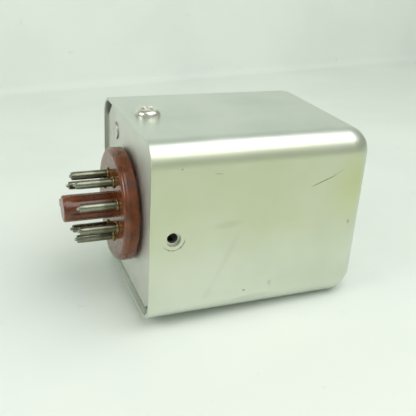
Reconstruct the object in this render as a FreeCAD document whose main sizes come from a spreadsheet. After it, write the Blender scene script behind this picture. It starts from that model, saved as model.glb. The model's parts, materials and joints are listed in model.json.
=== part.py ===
import FreeCAD, Part
import math
import os
import Sketcher

# Plug in relay: a hinged-armature relay with two changeover contacts, in a square dust cover.
#
# Frame: the plug's axis is X, and the plug points along -X. The origin is where that axis meets
# the face of the plug that seats on a socket. Z is up when the relay lies on its side.
# Millimetres. Side 1 is the half with Z above zero, side 2 the half below it.

Vector = FreeCAD.Vector
Rotation = FreeCAD.Rotation
Placement = FreeCAD.Placement

doc = FreeCAD.newDocument("PlugInRelay")

# ---------------------------------------------------------------- driving dimensions

DIMENSIONS = [
    ("cover_length", 64.8, "dust cover, rim to closed end, outside"),
    ("cover_width", 50.8, "dust cover, outside, along Y"),
    ("cover_height", 50.8, "dust cover, outside, along Z"),
    ("cover_wall", 0.9, "sheet of the dust cover"),
    ("cover_edge_radius", 6.3, "the four long edges, outside"),
    ("cover_end_radius", 7.9, "edges of the closed end, outside"),
    ("rim_round", 0.25, "deburred outer edge of the rim"),
    ("pan_recess", 1.0, "rim to the face of the base pan"),
    ("pan_thickness", 1.2, "sheet of the base pan"),
    ("pan_gap", 0.12, "pan flange to the inside of the cover"),
    ("pan_flange_depth", 11.0, "face of the pan to the end of its flanges"),
    ("pan_bend_radius", 1.6, "outside radius of the flange bends"),
    ("pan_corner_clip", 6.4, "clipped corner of the pan, along each edge"),
    ("screw_setback", 6.3, "rim to the cover screws"),
    ("screw_hole_radius", 2.0, "clearance hole in the cover"),
    ("screw_core_radius", 1.45, "tapped hole in the pan flange, and the screw in it"),
    ("screw_head_radius", 3.55, "cover screw head"),
    ("screw_head_height", 2.1, "cover screw head"),
    ("screw_length", 6.0, "cover screw, under the head"),
    ("screw_end_room", 0.4, "bracket to the cover screw behind it"),
    ("disc_radius", 16.0, "plug disc"),
    ("disc_thickness", 4.9, "plug disc, seating face to pan"),
    ("rim_thickness", 3.8, "plug disc at its full radius"),
    ("shoulder_radius", 13.8, "plug disc between its rim and the pan"),
    ("disc_round", 1.4, "front edge of the plug disc"),
    ("post_radius", 3.75, "key post"),
    ("post_length", 13.6, "key post, from the seating face"),
    ("post_round", 0.6, "end of the key post"),
    ("key_width", 1.7, "rib on the key post"),
    ("key_reach", 5.0, "post axis to the top of the rib"),
    ("shank_radius", 13.2, "plug behind the disc"),
    ("shank_length", 4.6, "plug behind the disc"),
    ("shank_clearance", 0.1, "shank to the hole in the pan"),
    ("ring_thickness", 0.9, "plug retaining ring"),
    ("ring_outer_radius", 15.2, "plug retaining ring"),
    ("groove_depth", 0.9, "groove for the retaining ring"),
    ("pin_circle_radius", 8.73, "circle of the eight pins"),
    ("pin_radius", 1.18, "plug pin"),
    ("pin_length", 10.4, "plug pin, from the seating face"),
    ("pin_bore_radius", 0.8, "hollow of the pin"),
    ("pin_round", 0.3, "end of the pin"),
    ("collar_radius", 1.65, "collar of the pin on the seating face"),
    ("collar_height", 0.45, "collar of the pin"),
    ("flare_radius", 1.6, "flared tail of the pin"),
    ("flare_height", 0.6, "flared tail of the pin"),
    ("solder_depth", 0.6, "solder inside the end of the pin"),
    ("nib_height", 0.65, "solder standing proud of the pin"),
    ("rivet_y", 13.4, "bracket rivets from the plug axis, along Y"),
    ("rivet_z", 17.2, "bracket rivets from the plug axis, along Z"),
    ("rivet_radius", 1.6, "bracket rivet shank"),
    ("rivet_head_radius", 2.6, "bracket rivet head"),
    ("rivet_head_height", 0.6, "bracket rivet head"),
    ("bracket_thickness", 1.5, "relay bracket"),
    ("bracket_width", 22.0, "relay bracket leg"),
    ("bracket_foot_width", 42.0, "relay bracket foot, along Z"),
    ("bracket_foot_inner", 9.0, "inner edge of the bracket foot, along Y"),
    ("bracket_height", 38.0, "top of the bracket leg"),
    ("spring_lug_width", 8.0, "lug at the top of the bracket"),
    ("frame_stand", 10.9, "back of the pan to the magnet frame"),
    ("frame_thickness", 2.5, "iron strip of the magnet frame"),
    ("frame_width", 22.0, "magnet frame"),
    ("frame_tab_width", 16.0, "short leg of the magnet frame"),
    ("frame_tab_height", 11.0, "short leg of the magnet frame"),
    ("leg_gap", 1.3, "bobbin to the long leg of the frame"),
    ("coil_y", 2.0, "coil axis, along Y"),
    ("core_length", 29.0, "core, frame to pole face"),
    ("core_radius", 4.5, "core"),
    ("core_rivet_radius", 3.0, "core end riveted in the frame"),
    ("pole_radius", 6.5, "pole cap"),
    ("pole_thickness", 2.0, "pole cap"),
    ("bobbin_wall", 0.95, "tube of the bobbin"),
    ("bobbin_clearance", 0.05, "core to the bobbin"),
    ("bobbin_flange", 1.4, "thickness of the bobbin flanges"),
    ("winding_radius", 10.0, "outside of the winding"),
    ("flange_reach", 1.0, "bobbin flanges past the winding"),
    ("wrap_thickness", 0.3, "tape over the winding"),
    ("lug_width", 2.0, "coil solder lugs"),
    ("lug_thickness", 0.6, "coil solder lugs"),
    ("lug_reach", 3.6, "coil lug past the bobbin flange"),
    ("lug_root", 1.5, "coil lug inside the bobbin flange"),
    ("armature_thickness", 2.0, "armature"),
    ("armature_width", 20.6, "armature"),
    ("armature_reach", 10.0, "free end of the armature, along -Y"),
    ("armature_tail", 6.2, "hinge axis to the end of the tail"),
    ("residual_gap", 0.1, "pole face to the closed armature"),
    ("stud_radius", 1.0, "residual stud"),
    ("stud_proud", 0.05, "residual stud under the armature"),
    ("open_angle", 3.5, "armature travel, degrees"),
    ("hinge_pin_radius", 1.0, "hinge pin"),
    ("hinge_clearance", 0.05, "hinge pin to the frame, radial"),
    ("knuckle_radius", 2.4, "hinge knuckle of the frame, and the armature bosses"),
    ("knuckle_width", 16.0, "hinge knuckle of the frame"),
    ("hinge_gap", 0.4, "armature to the knuckle"),
    ("bar_thickness", 4.0, "insulating bar"),
    ("bar_width", 34.0, "insulating bar, along Z"),
    ("bar_depth", 8.0, "insulating bar, along Y"),
    ("bar_overhang", 1.0, "insulating bar past the free end of the armature"),
    ("blade_thickness", 0.8, "moving blade"),
    ("blade_width", 5.0, "moving blade and fixed arms"),
    ("blade_tail", 1.5, "tail of the blade, along Y"),
    ("contact_z", 13.7, "centre of the contacts, along Z"),
    ("contact_reach", 17.3, "centre of the contacts, along -Y"),
    ("contact_radius", 2.0, "contact buttons"),
    ("contact_height", 1.0, "moving contact, each side of the blade"),
    ("fixed_contact_height", 1.2, "fixed contact"),
    ("contact_shank_radius", 1.0, "shank of a contact"),
    ("contact_gap", 0.05, "contacts at each end of the travel"),
    ("arm_thickness", 1.0, "fixed contact arms"),
    ("arm_past_contact", 2.3, "fixed arm past the centre of its contact"),
    ("make_arm_tail", 26.0, "lower end of the make arms"),
    ("break_arm_top", 61.0, "upper end of the break arms"),
    ("board_thickness", 2.0, "contact board"),
    ("board_width", 38.0, "contact board"),
    ("board_gap", 2.0, "contact board to the inside of the cover"),
    ("board_start", 20.0, "lower end of the contact board"),
    ("board_end", 64.0, "upper end of the contact board"),
    ("small_screw_radius", 1.3, "inner screws"),
    ("small_head_radius", 2.5, "inner screw heads"),
    ("small_head_height", 1.3, "inner screw heads"),
    ("slot_width", 0.6, "slot of the inner screws"),
    ("slot_depth", 0.6, "slot of the inner screws"),
    ("small_rivet_radius", 0.8, "inner rivets"),
    ("small_rivet_head", 1.15, "inner rivet heads"),
    ("small_rivet_height", 0.5, "inner rivet heads"),
    ("arm_rivet_spread", 1.25, "break arm rivets, off the middle of the arm"),
    ("arm_rivet_inset", 2.4, "break arm rivets, from the upper end of the arm"),
    ("arm_rivet_first", 5.0, "make arm, lower end to the first rivet"),
    ("arm_rivet_pitch", 10.0, "make arm, between the rivets"),
    ("lead_radius", 0.65, "insulated lead"),
    ("lead_bend", 1.6, "bends of the leads"),
    ("lead_clearance", 0.05, "leads to the contact board"),
    ("lead_side_gap", 1.3, "break leads to the edge of the arms"),
    ("coil_lead_rise", 4.7, "pin tail to the level where a coil lead crosses"),
    ("make_lead_rise", 4.5, "pin tail to the level where a make lead crosses"),
    ("break_lead_rise", 2.4, "pin tail to the level where a break lead crosses"),
    ("common_lead_rise", 2.8, "pin tail to the level where a common lead crosses"),
    ("lead_overlap", 1.4, "end of a soldered part to the lead soldered on it"),
    ("strand_radius", 0.6, "bare conductor and flexible pigtail"),
    ("pigtail_rise", 2.8, "armature to the top run of a pigtail"),
    ("pigtail_inset", 1.6, "end of the blade's tail to the pigtail"),
    ("sleeve_length", 6.5, "lead sleeve"),
    ("sleeve_wall", 0.35, "lead sleeve"),
    ("sleeve_room", 0.5, "pigtail to the wide end of its sleeve"),
    ("sleeve_offset", 3.5, "sleeves from the edge of the magnet frame, along Z"),
    ("sleeve_drop", 1.1, "hinge axis to the top of the sleeves"),
    ("spring_radius", 1.6, "return spring, to the middle of the wire"),
    ("spring_wire", 0.25, "radius of the spring wire"),
    ("spring_pitch", 0.62, "return spring"),
    ("spring_turns", 10.0, "return spring"),
    ("spring_hole_radius", 0.7, "holes for the spring ends"),
    ("spring_offset", 4.85, "hinge axis to the spring axis"),
    ("spring_play", 0.02, "armature to the upper hook of the spring"),
    ("screw_recess_depth", 1.3, "cross recess of the cover screws"),
    ("screw_recess_reach", 1.95, "cross recess, from the middle of the head"),
    ("screw_recess_half", 0.46, "cross recess, half the width of a slot"),
    ("screw_head_round", 1.5, "edge of the cover screw heads"),
    ("ring_gap", 1.5, "half the gap in the retaining ring"),
    ("frame_screw_rise", 9.0, "back of the magnet frame to its screws"),
    ("frame_screw_spread", 6.6, "frame screws from the plug axis, along Z"),
    ("board_screw_rise", 4.5, "coil face of the magnet frame to the board screws"),
    ("board_screw_spread", 4.5, "board screws from the plug axis, along Z"),
    ("bar_screw_inset", 3.36, "inner edge of the bar to its screws"),
    ("bar_screw_spread", 6.0, "bar screws from the plug axis, along Z"),
    ("blade_rivet_inset", 2.0, "edges of the bar to the blade rivets"),
    ("bracket_lug_gap", 0.4, "end of the armature tail to the end of the spring lug"),
    ("knuckle_gap", 0.6, "knuckle to the shoulders of the magnet frame"),
    ("knuckle_side_gap", 0.3, "knuckle to the armature, along Z"),
    ("hinge_pin_overhang", 0.5, "hinge pin past the armature, each end"),
    ("bobbin_play", 0.1, "magnet frame to the bobbin"),
    ("bobbin_cap_gap", 0.4, "bobbin to the pole cap"),
    ("small_round", 0.3, "edges of the pole cap and the contacts"),
    ("ring_room", 0.5, "retaining ring to the bracket foot"),
]


class Size:
    """A number together with the expression that gives it from the sheet."""

    def __init__(self, number, text):
        self.number = float(number)
        self.text = text

    def __add__(self, other):
        other = as_size(other)
        return Size(self.number + other.number, f"({self.text} + {other.text})")

    def __sub__(self, other):
        other = as_size(other)
        return Size(self.number - other.number, f"({self.text} - {other.text})")

    def __mul__(self, other):
        other = as_size(other)
        return Size(self.number * other.number, f"({self.text} * {other.text})")

    def __truediv__(self, other):
        other = as_size(other)
        return Size(self.number / other.number, f"({self.text} / {other.text})")

    def __neg__(self):
        return Size(-self.number, f"(0 - {self.text})")

    __radd__ = __add__
    __rmul__ = __mul__

    def __rsub__(self, other):
        return as_size(other) - self


def as_size(value):
    return value if isinstance(value, Size) else Size(value, f"({float(value):.9g})")


class Sheet:
    """The spreadsheet, whose aliases are read as attributes."""

    def __init__(self, rows):
        self.cells = doc.addObject("Spreadsheet::Sheet", "Sizes")
        for row, (alias, number, note) in enumerate(rows, start=1):
            self.cells.set(f"A{row}", alias)
            self.cells.set(f"B{row}", str(number))
            self.cells.setAlias(f"B{row}", alias)
            self.cells.set(f"C{row}", note)
            setattr(self, alias, Size(number, f"Sizes.{alias}"))


S = Sheet(DIMENSIONS)
doc.recompute()

# ---------------------------------------------------------------- small helpers

TURN = {
    "X": Rotation(Vector(0, 1, 0), 90),
    "Y": Rotation(Vector(1, 0, 0), -90),
    "Z": Rotation(),
}
SUBPARTS = []


def numbers(*sizes):
    return Vector(*(as_size(size).number for size in sizes))


def bind(item, **sizes):
    for name, size in sizes.items():
        size = as_size(size)
        setattr(item, name, size.number)
        item.setExpression(name, size.text)


def place(item, x=0, y=0, z=0, turn=None):
    item.Placement = Placement(numbers(x, y, z), turn or Rotation())
    for axis, size in zip("xyz", (x, y, z)):
        item.setExpression(f"Placement.Base.{axis}", as_size(size).text)


def keep(label, item, swing=None):
    """Mark a finished sub-part, and swing it to the open position if it is on the armature."""
    item.Label = label
    if swing is not None:
        item.Placement = swing
    SUBPARTS.append(item)
    return item


def box(x, y, z):
    """Box between two corners, given as (low, high) along each axis."""
    item = doc.addObject("Part::Box", "Block")
    bind(item, Length=x[1] - as_size(x[0]), Width=y[1] - as_size(y[0]), Height=z[1] - as_size(z[0]))
    place(item, x[0], y[0], z[0])
    return item


def rod(axis, x, y, z, length, radius):
    """Cylinder that starts at a point and runs along a positive axis."""
    item = doc.addObject("Part::Cylinder", "Rod")
    bind(item, Radius=radius, Height=length)
    place(item, x, y, z, TURN[axis])
    return item


def fuse(*items):
    item = doc.addObject("Part::MultiFuse", "Joined")
    item.Shapes = list(items)
    item.Refine = True
    return item


def cut(base, *tools):
    item = doc.addObject("Part::Cut", "Trimmed")
    item.Base = base
    item.Tool = tools[0] if len(tools) == 1 else fuse(*tools)
    item.Refine = True
    return item


def group(items):
    """Identical loose pieces that share one node, or one piece that swings with the armature."""
    item = doc.addObject("Part::Compound", "Set")
    item.Links = list(items)
    return item


def both(size):
    """A size above and below zero, as a (low, high) pair."""
    return (-as_size(size), as_size(size))


def new_body(name):
    return doc.addObject("PartDesign::Body", name)


def draw(body, plane, loops, offset=0):
    """Sketch on one of the body's origin planes, from closed loops of points and from circles.

    A loop is a list of (across, up) pairs. A circle is ("circle", across, up, radius).
    """
    sketch = body.newObject("Sketcher::SketchObject", "Outline")
    support = next(item for item in body.Origin.OriginFeatures if item.Role == plane)
    sketch.AttachmentSupport = [(support, "")]
    sketch.MapMode = "FlatFace"
    sketch.AttachmentOffset = Placement(numbers(0, 0, offset), Rotation())
    sketch.setExpression("AttachmentOffset.Base.z", as_size(offset).text)
    pinned = []
    for loop in loops:
        if loop[0] == "circle":
            centre = numbers(loop[1], loop[2], 0)
            edge = sketch.addGeometry(Part.Circle(centre, Vector(0, 0, 1), as_size(loop[3]).number))
            pinned += [("DistanceX", (edge, 3), loop[1]), ("DistanceY", (edge, 3), loop[2])]
            pinned += [("Radius", (edge,), loop[3])]
            continue
        corners = [numbers(across, up, 0) for across, up in loop]
        first = None
        for index, corner in enumerate(corners):
            following = corners[(index + 1) % len(corners)]
            edge = sketch.addGeometry(Part.LineSegment(corner, following))
            first = edge if first is None else first
            pinned += [("DistanceX", (edge, 1), loop[index][0]), ("DistanceY", (edge, 1), loop[index][1])]
        for index in range(len(corners)):
            after = first + (index + 1) % len(corners)
            sketch.addConstraint(Sketcher.Constraint("Coincident", first + index, 2, after, 1))
    for kind, where, size in pinned:
        size = as_size(size)
        if kind != "Radius" and size.number == 0.0:
            on_axis = "Y" if kind == "DistanceX" else "X"
            reference = -2 if on_axis == "Y" else -1
            sketch.addConstraint(Sketcher.Constraint("PointOnObject", *where, reference))
            continue
        number = sketch.addConstraint(Sketcher.Constraint(kind, *where, size.number))
        sketch.setExpression(f"Constraints[{number}]", size.text)
    return sketch


def pad(body, plane, loops, length, offset=0):
    feature = body.newObject("PartDesign::Pad", "Raise")
    feature.Profile = draw(body, plane, loops, offset)
    bind(feature, Length=length)
    return feature


def pocket_through(body, plane, loops):
    """Cut all the way through the body, to both sides of a plane, and check that it cut."""
    doc.recompute()
    before = body.Shape.Volume
    feature = body.newObject("PartDesign::Pocket", "Opening")
    feature.Profile = draw(body, plane, loops)
    feature.Type = "ThroughAll"
    feature.SideType = "Symmetric"
    doc.recompute()
    if body.Shape.Volume >= before:
        raise RuntimeError(f"{body.Name}: the opening cut nothing")
    return feature


def revolve(body, profile):
    """Turn a profile of (along, radius) points about X."""
    feature = body.newObject("PartDesign::Revolution", "Turned")
    sketch = draw(body, "XY_Plane", [profile])
    feature.Profile = sketch
    feature.ReferenceAxis = (sketch, ["H_Axis"])
    feature.Angle = 360
    return feature


def round_edges(body, radius, wanted):
    """Fillet the edges of the body's tip for which wanted(edge) is true."""
    doc.recompute()
    tip = body.Tip
    names = [f"Edge{n}" for n, edge in enumerate(tip.Shape.Edges, start=1) if wanted(edge)]
    if not names:
        raise RuntimeError(f"{body.Name}: no edge to round")
    feature = body.newObject("PartDesign::Fillet", "Rounding")
    feature.Base = (tip, names)
    bind(feature, Radius=radius)
    return feature


def is_ring(edge, along, radius):
    """True for a whole circle about X at a place along it."""
    if not isinstance(edge.Curve, Part.Circle):
        return False
    return abs(edge.Curve.Center.x - as_size(along).number) < 1e-4 and abs(
        edge.Curve.Radius - as_size(radius).number) < 1e-4


def runs_along(edge, axis):
    direction = edge.tangentAt(edge.FirstParameter)
    return isinstance(edge.Curve, Part.Line) and abs(getattr(direction, axis)) > 0.999


def turned(label, profile, rounds=(), y=0, z=0, swing=None, final=True):
    """A turned piece about an axis parallel to X; rounds are (along, radius, fillet) triples."""
    body = new_body(label)
    revolve(body, profile)
    for along, radius, fillet in rounds:
        round_edges(body, fillet, lambda edge: is_ring(edge, along, radius))
    place(body, 0, y, z)
    if final:
        keep(label, body, swing)
    return body


def runs_and_arcs(points, bend):
    """Edges of straight runs joined by tangent arcs of one radius."""
    edges = []
    start = points[0]
    for before, corner, after in zip(points, points[1:], points[2:]):
        inward = (corner - before).normalize()
        outward = (after - corner).normalize()
        turn = inward.getAngle(outward)
        reach = bend * math.tan(turn / 2)
        first = corner - inward * reach
        last = corner + outward * reach
        middle = corner + (outward - inward).normalize() * (bend / math.cos(turn / 2) - bend)
        edges.append(Part.LineSegment(start, first).toShape())
        edges.append(Part.Arc(first, middle, last).toShape())
        start = last
    edges.append(Part.LineSegment(start, points[-1]).toShape())
    return edges


def sweep(edges, start, heading, radius):
    """Round bar along joined edges; its volume has to be its section times its length."""
    path = Part.Wire(edges)
    ring = Part.Circle(start, heading, radius).toShape()
    bar = path.makePipeShell([Part.Wire([ring])], True, False)
    if not bar.isValid() or abs(bar.Volume / (math.pi * radius ** 2 * path.Length) - 1) > 0.01:
        raise RuntimeError("a swept bar has the wrong volume")
    return bar


def sweep_route(route, radius):
    """Round bar along the straight runs and bends of a lead."""
    points = [numbers(*point) for point in route]
    edges = runs_and_arcs(points, S.lead_bend.number)
    return sweep(edges, points[0], points[1] - points[0], as_size(radius).number)


# ---------------------------------------------------------------- places worked out from the sizes

rim_x = S.disc_thickness - S.pan_recess
pan_x = S.disc_thickness
pan_back = pan_x + S.pan_thickness
end_x = rim_x + S.cover_length
half_y = S.cover_width / 2
half_z = S.cover_height / 2
inside_y = half_y - S.cover_wall
inside_z = half_z - S.cover_wall
pan_y = inside_y - S.pan_gap
pan_z = inside_z - S.pan_gap
screw_x = rim_x + S.screw_setback
shank_end = pan_x + S.shank_length
pin_tail = shank_end + S.flare_height
groove_radius = S.shank_radius - S.groove_depth
bead_x = S.pin_bore_radius - S.pin_length - S.nib_height
bead_end = bead_x + S.pin_bore_radius

frame_x = pan_back + S.frame_stand
coil_x = frame_x + S.frame_thickness
pole_x = coil_x + S.core_length
bobbin_radius = S.winding_radius + S.flange_reach
lug_tip = bobbin_radius + S.lug_reach
leg_in = S.coil_y + bobbin_radius + S.leg_gap
leg_out = leg_in + S.frame_thickness
bracket_out = leg_out + S.bracket_thickness

armature_x = pole_x + S.residual_gap
armature_top = armature_x + S.armature_thickness
hinge_x = armature_x + S.armature_thickness / 2
hinge_y = leg_in + S.frame_thickness / 2
blade_x = armature_top - S.blade_thickness
moving_low = blade_x - S.contact_height
moving_high = armature_top + S.contact_height
bar_end = S.armature_reach + S.bar_overhang
bar_start = bar_end - S.bar_depth

board_out = inside_y - S.board_gap
board_in = board_out - S.board_thickness
arm_face = board_in - S.arm_thickness
make_top = moving_low - S.contact_gap
make_x = make_top - S.fixed_contact_height - S.arm_thickness

# The moving contact swings about the hinge, so its outer edge rises the most.
open_turn = math.radians(S.open_angle.number)
contact_edge = hinge_y + S.contact_reach + S.contact_radius
break_low = (hinge_x + (moving_high - hinge_x) * math.cos(open_turn)
             + contact_edge * math.sin(open_turn) + S.contact_gap)
break_x = break_low + S.fixed_contact_height

hinge_point = numbers(hinge_x, hinge_y, 0)
SWING = Placement(Vector(), Rotation(Vector(0, 0, 1), S.open_angle.number), hinge_point)

PIN_STEP = 45.0
PIN_START = 22.5


def pin_place(number):
    """Y and Z of a pin. Numbers run from 1 beside the key, round over +Z."""
    turn = math.radians(PIN_START + PIN_STEP * ((4 - number) % 8))
    return S.pin_circle_radius * -math.cos(turn), S.pin_circle_radius * math.sin(turn)


# ---------------------------------------------------------------- cover and base pan

def rectangle(y, z):
    """Corners of a rectangle about the plug axis."""
    return [(-y, -z), (y, -z), (y, z), (-y, z)]


def rounded_block(name, start, length, y, z, edge_radius, end_radius, rim=None):
    """Square block along X with rounded long edges and a rounded closed end."""
    body = new_body(name)
    pad(body, "YZ_Plane", [rectangle(y, z)], length, start)
    round_edges(body, edge_radius, lambda edge: runs_along(edge, "x"))
    far = as_size(start + length).number
    near = as_size(start).number
    round_edges(body, end_radius, lambda edge: edge.BoundBox.XMin > far - 1e-4)
    if rim is not None:
        round_edges(body, rim, lambda edge: edge.BoundBox.XMax < near + 1e-4)
    return body


def make_cover():
    outer = rounded_block("CoverOutside", rim_x, S.cover_length, half_y, half_z,
                          S.cover_edge_radius, S.cover_end_radius, S.rim_round)
    inner = rounded_block("CoverInside", rim_x - S.cover_wall, S.cover_length, inside_y, inside_z,
                          S.cover_edge_radius - S.cover_wall, S.cover_end_radius - S.cover_wall)
    holes_y = rod("Y", screw_x, -half_y - 1, 0, S.cover_width + 2, S.screw_hole_radius)
    holes_z = rod("Z", screw_x, 0, -half_z - 1, S.cover_height + 2, S.screw_hole_radius)
    keep("dust_cover", cut(outer, inner, holes_y, holes_z))


def make_pan():
    """Square pan with its rim bent in; the corners are clipped off at 45 degrees."""
    body = new_body("base_pan")
    inner_y = pan_y - S.pan_thickness
    inner_z = pan_z - S.pan_thickness
    front = pan_x.number
    back = pan_back.number
    pad(body, "YZ_Plane", [rectangle(pan_y, pan_z)], S.pan_flange_depth, pan_x)
    round_edges(body, S.pan_bend_radius, lambda edge: edge.BoundBox.XMax < front + 1e-4)
    doc.recompute()
    before = body.Shape.Volume
    hollow = body.newObject("PartDesign::Pocket", "Hollow")
    hollow.Profile = draw(body, "YZ_Plane", [rectangle(inner_y, inner_z)], pan_back)
    hollow.Reversed = True
    bind(hollow, Length=S.pan_flange_depth)
    doc.recompute()
    if body.Shape.Volume > before * 0.5:
        raise RuntimeError("the pan was not hollowed")
    round_edges(body, S.pan_bend_radius - S.pan_thickness,
                lambda edge: abs(edge.CenterOfMass.x - back) < 1e-4 and not runs_along(edge, "x"))
    corners = []
    for side in (-1, 1):
        for up in (-1, 1):
            y = pan_y * side
            z = pan_z * up
            corners.append([(y, (pan_z - S.pan_corner_clip) * up), (y + side, z + up * 1.0),
                            ((pan_y - S.pan_corner_clip) * side, z)])
    pocket_through(body, "YZ_Plane", corners)
    plug_hole = ("circle", 0, 0, S.shank_radius + S.shank_clearance)
    rivet_holes = [("circle", S.rivet_y, S.rivet_z * sign, S.rivet_radius) for sign in (-1, 1)]
    pocket_through(body, "YZ_Plane", [plug_hole] + rivet_holes)
    pocket_through(body, "XZ_Plane", [("circle", screw_x, 0, S.screw_core_radius)])
    pocket_through(body, "XY_Plane", [("circle", screw_x, 0, S.screw_core_radius)])
    keep("base_pan", body)


def make_cover_screws():
    """Pan-head screws on three sides; the fourth hole, on -Y, is left open."""
    head = S.screw_head_height
    wing = S.screw_recess_reach
    web = S.screw_recess_half
    cross = [(-wing, -web), (-web, -web), (-web, -wing), (web, -wing), (web, -web), (wing, -web),
             (wing, web), (web, web), (web, wing), (-web, wing), (-web, web), (-wing, web)]
    turns = {
        "top": (Rotation(Vector(0, 1, 0), 90), (screw_x, 0, half_z)),
        "bottom": (Rotation(Vector(0, 1, 0), -90), (screw_x, 0, -half_z)),
        "far": (Rotation(Vector(0, 0, 1), -90), (screw_x, half_y, 0)),
    }
    screws = []
    for side, (turn, seat) in turns.items():
        body = new_body(f"CoverScrew_{side}")
        profile = [(-head, 0), (-head, S.screw_head_radius), (0, S.screw_head_radius),
                   (0, S.screw_core_radius), (S.screw_length, S.screw_core_radius),
                   (S.screw_length, 0)]
        revolve(body, profile)
        round_edges(body, S.screw_head_round,
                    lambda edge: is_ring(edge, -head, S.screw_head_radius))
        doc.recompute()
        before = body.Shape.Volume
        recess = body.newObject("PartDesign::Pocket", "Recess")
        recess.Profile = draw(body, "YZ_Plane", [cross], -head)
        recess.Reversed = True
        bind(recess, Length=S.screw_recess_depth)
        doc.recompute()
        if body.Shape.Volume >= before:
            raise RuntimeError("the cross recess cut nothing")
        place(body, *seat, turn)
        screws.append(body)
    keep("cover_screws", group(screws))


# ---------------------------------------------------------------- plug

def make_key_post():
    """The post is moulded with the disc, and is a solid of its own that stands on the disc."""
    body = new_body("key_post")
    profile = [(-S.post_length, 0), (-S.post_length, S.post_radius), (0, S.post_radius), (0, 0)]
    revolve(body, profile)
    key_half = S.key_width / 2
    key_root = S.post_radius * 0.5
    rib = [(key_root, -key_half), (S.key_reach, -key_half), (S.key_reach, key_half),
           (key_root, key_half)]
    pad(body, "YZ_Plane", [rib], S.post_length, -S.post_length)
    tip = -S.post_length.number
    round_edges(body, S.post_round,
                lambda edge: edge.BoundBox.XMax < tip + 1e-4 and isinstance(edge.Curve, Part.Circle))
    keep("key_post", body)


def make_plug():
    body = new_body("plug_body")
    groove_end = pan_back + S.ring_thickness
    profile = [(0, 0), (0, S.disc_radius), (S.rim_thickness, S.disc_radius),
               (S.rim_thickness, S.shoulder_radius), (pan_x, S.shoulder_radius),
               (pan_x, S.shank_radius),
               (pan_back, S.shank_radius), (pan_back, groove_radius), (groove_end, groove_radius),
               (groove_end, S.shank_radius), (shank_end, S.shank_radius), (shank_end, 0)]
    revolve(body, profile)
    round_edges(body, S.disc_round, lambda edge: is_ring(edge, 0, S.disc_radius))
    doc.recompute()
    before = body.Shape.Volume
    y, z = pin_place(4)
    hole = pocket_through(body, "YZ_Plane", [("circle", y, z, S.pin_radius)])
    one_hole = before - body.Shape.Volume
    ring = body.newObject("PartDesign::PolarPattern", "PinHoles")
    ring.Originals = [hole]
    ring.Axis = (hole.Profile[0], ["N_Axis"])
    ring.Angle = 360
    ring.Occurrences = 8
    body.Tip = ring
    doc.recompute()
    if abs((before - body.Shape.Volume) / one_hole - 8) > 0.01:
        raise RuntimeError("the plug does not have eight pin holes")
    keep("plug_body", body)


def make_pins():
    solder = []
    for number in range(1, 9):
        y, z = pin_place(number)
        tip = -S.pin_length
        profile = [(tip, S.pin_bore_radius), (tip, S.pin_radius), (-S.collar_height, S.pin_radius),
                   (-S.collar_height, S.collar_radius), (0, S.collar_radius), (0, S.pin_radius),
                   (shank_end, S.pin_radius), (shank_end, S.flare_radius),
                   (pin_tail, S.flare_radius), (pin_tail, S.pin_bore_radius)]
        rounds = [(tip, S.pin_radius, S.pin_round),
                  (-S.collar_height, S.collar_radius, S.collar_height * 0.5)]
        turned(f"plug_pin_{number}", profile, rounds, y, z)
        core = rod("X", tip, y, z, S.solder_depth, S.pin_bore_radius)
        bead = doc.addObject("Part::Sphere", "Bead")
        bind(bead, Radius=S.pin_bore_radius)
        place(bead, bead_x, y, z)
        solder.append(fuse(core, bead))
    keep("pin_solder_tips", group(solder))


def make_retaining_ring():
    profile = [(pan_back, groove_radius), (pan_back, S.ring_outer_radius),
               (pan_back + S.ring_thickness, S.ring_outer_radius),
               (pan_back + S.ring_thickness, groove_radius)]
    whole = turned("RingBlank", profile, final=False)
    reach = S.ring_outer_radius + 1
    gap = box((pan_back - 1, pan_back + S.ring_thickness + 1), both(S.ring_gap), (-reach, -S.groove_depth))
    keep("plug_retaining_ring", cut(whole, gap))


# ---------------------------------------------------------------- bracket and magnet frame

def make_bracket():
    foot_top = pan_back + S.bracket_thickness
    foot = box((pan_back, foot_top), (S.bracket_foot_inner, bracket_out),
               both(S.bracket_foot_width / 2))
    leg = box((pan_back, S.bracket_height), (leg_out, bracket_out), both(S.bracket_width / 2))
    lug_end = hinge_y + S.armature_tail + S.bracket_lug_gap
    lug = box((S.bracket_height - S.bracket_thickness, S.bracket_height), (leg_out, lug_end),
              both(S.spring_lug_width / 2))
    ring_room = rod("X", pan_back - 1, 0, 0, S.bracket_thickness + 2,
                    S.ring_outer_radius + S.ring_room)
    holes = [rod("X", pan_back - 1, S.rivet_y, S.rivet_z * sign, S.bracket_thickness + 2,
                 S.rivet_radius) for sign in (-1, 1)]
    spring_hole = rod("X", S.bracket_height - S.bracket_thickness - 1, hinge_y + S.spring_offset, 0,
                      S.bracket_thickness + 2, S.spring_hole_radius)
    screw_holes = [rod("Y", frame_screw_x, leg_out - 1, frame_screw_z * sign,
                       S.bracket_thickness + 2, S.small_screw_radius) for sign in (-1, 1)]
    cover_screw_room = rod("Y", screw_x, half_y - S.screw_length - S.screw_end_room, 0,
                           S.screw_length + S.screw_end_room, S.screw_core_radius + S.screw_end_room)
    keep("frame_bracket", cut(fuse(foot, leg, lug), ring_room, cover_screw_room, *holes, spring_hole,
                              *screw_holes))


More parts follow.
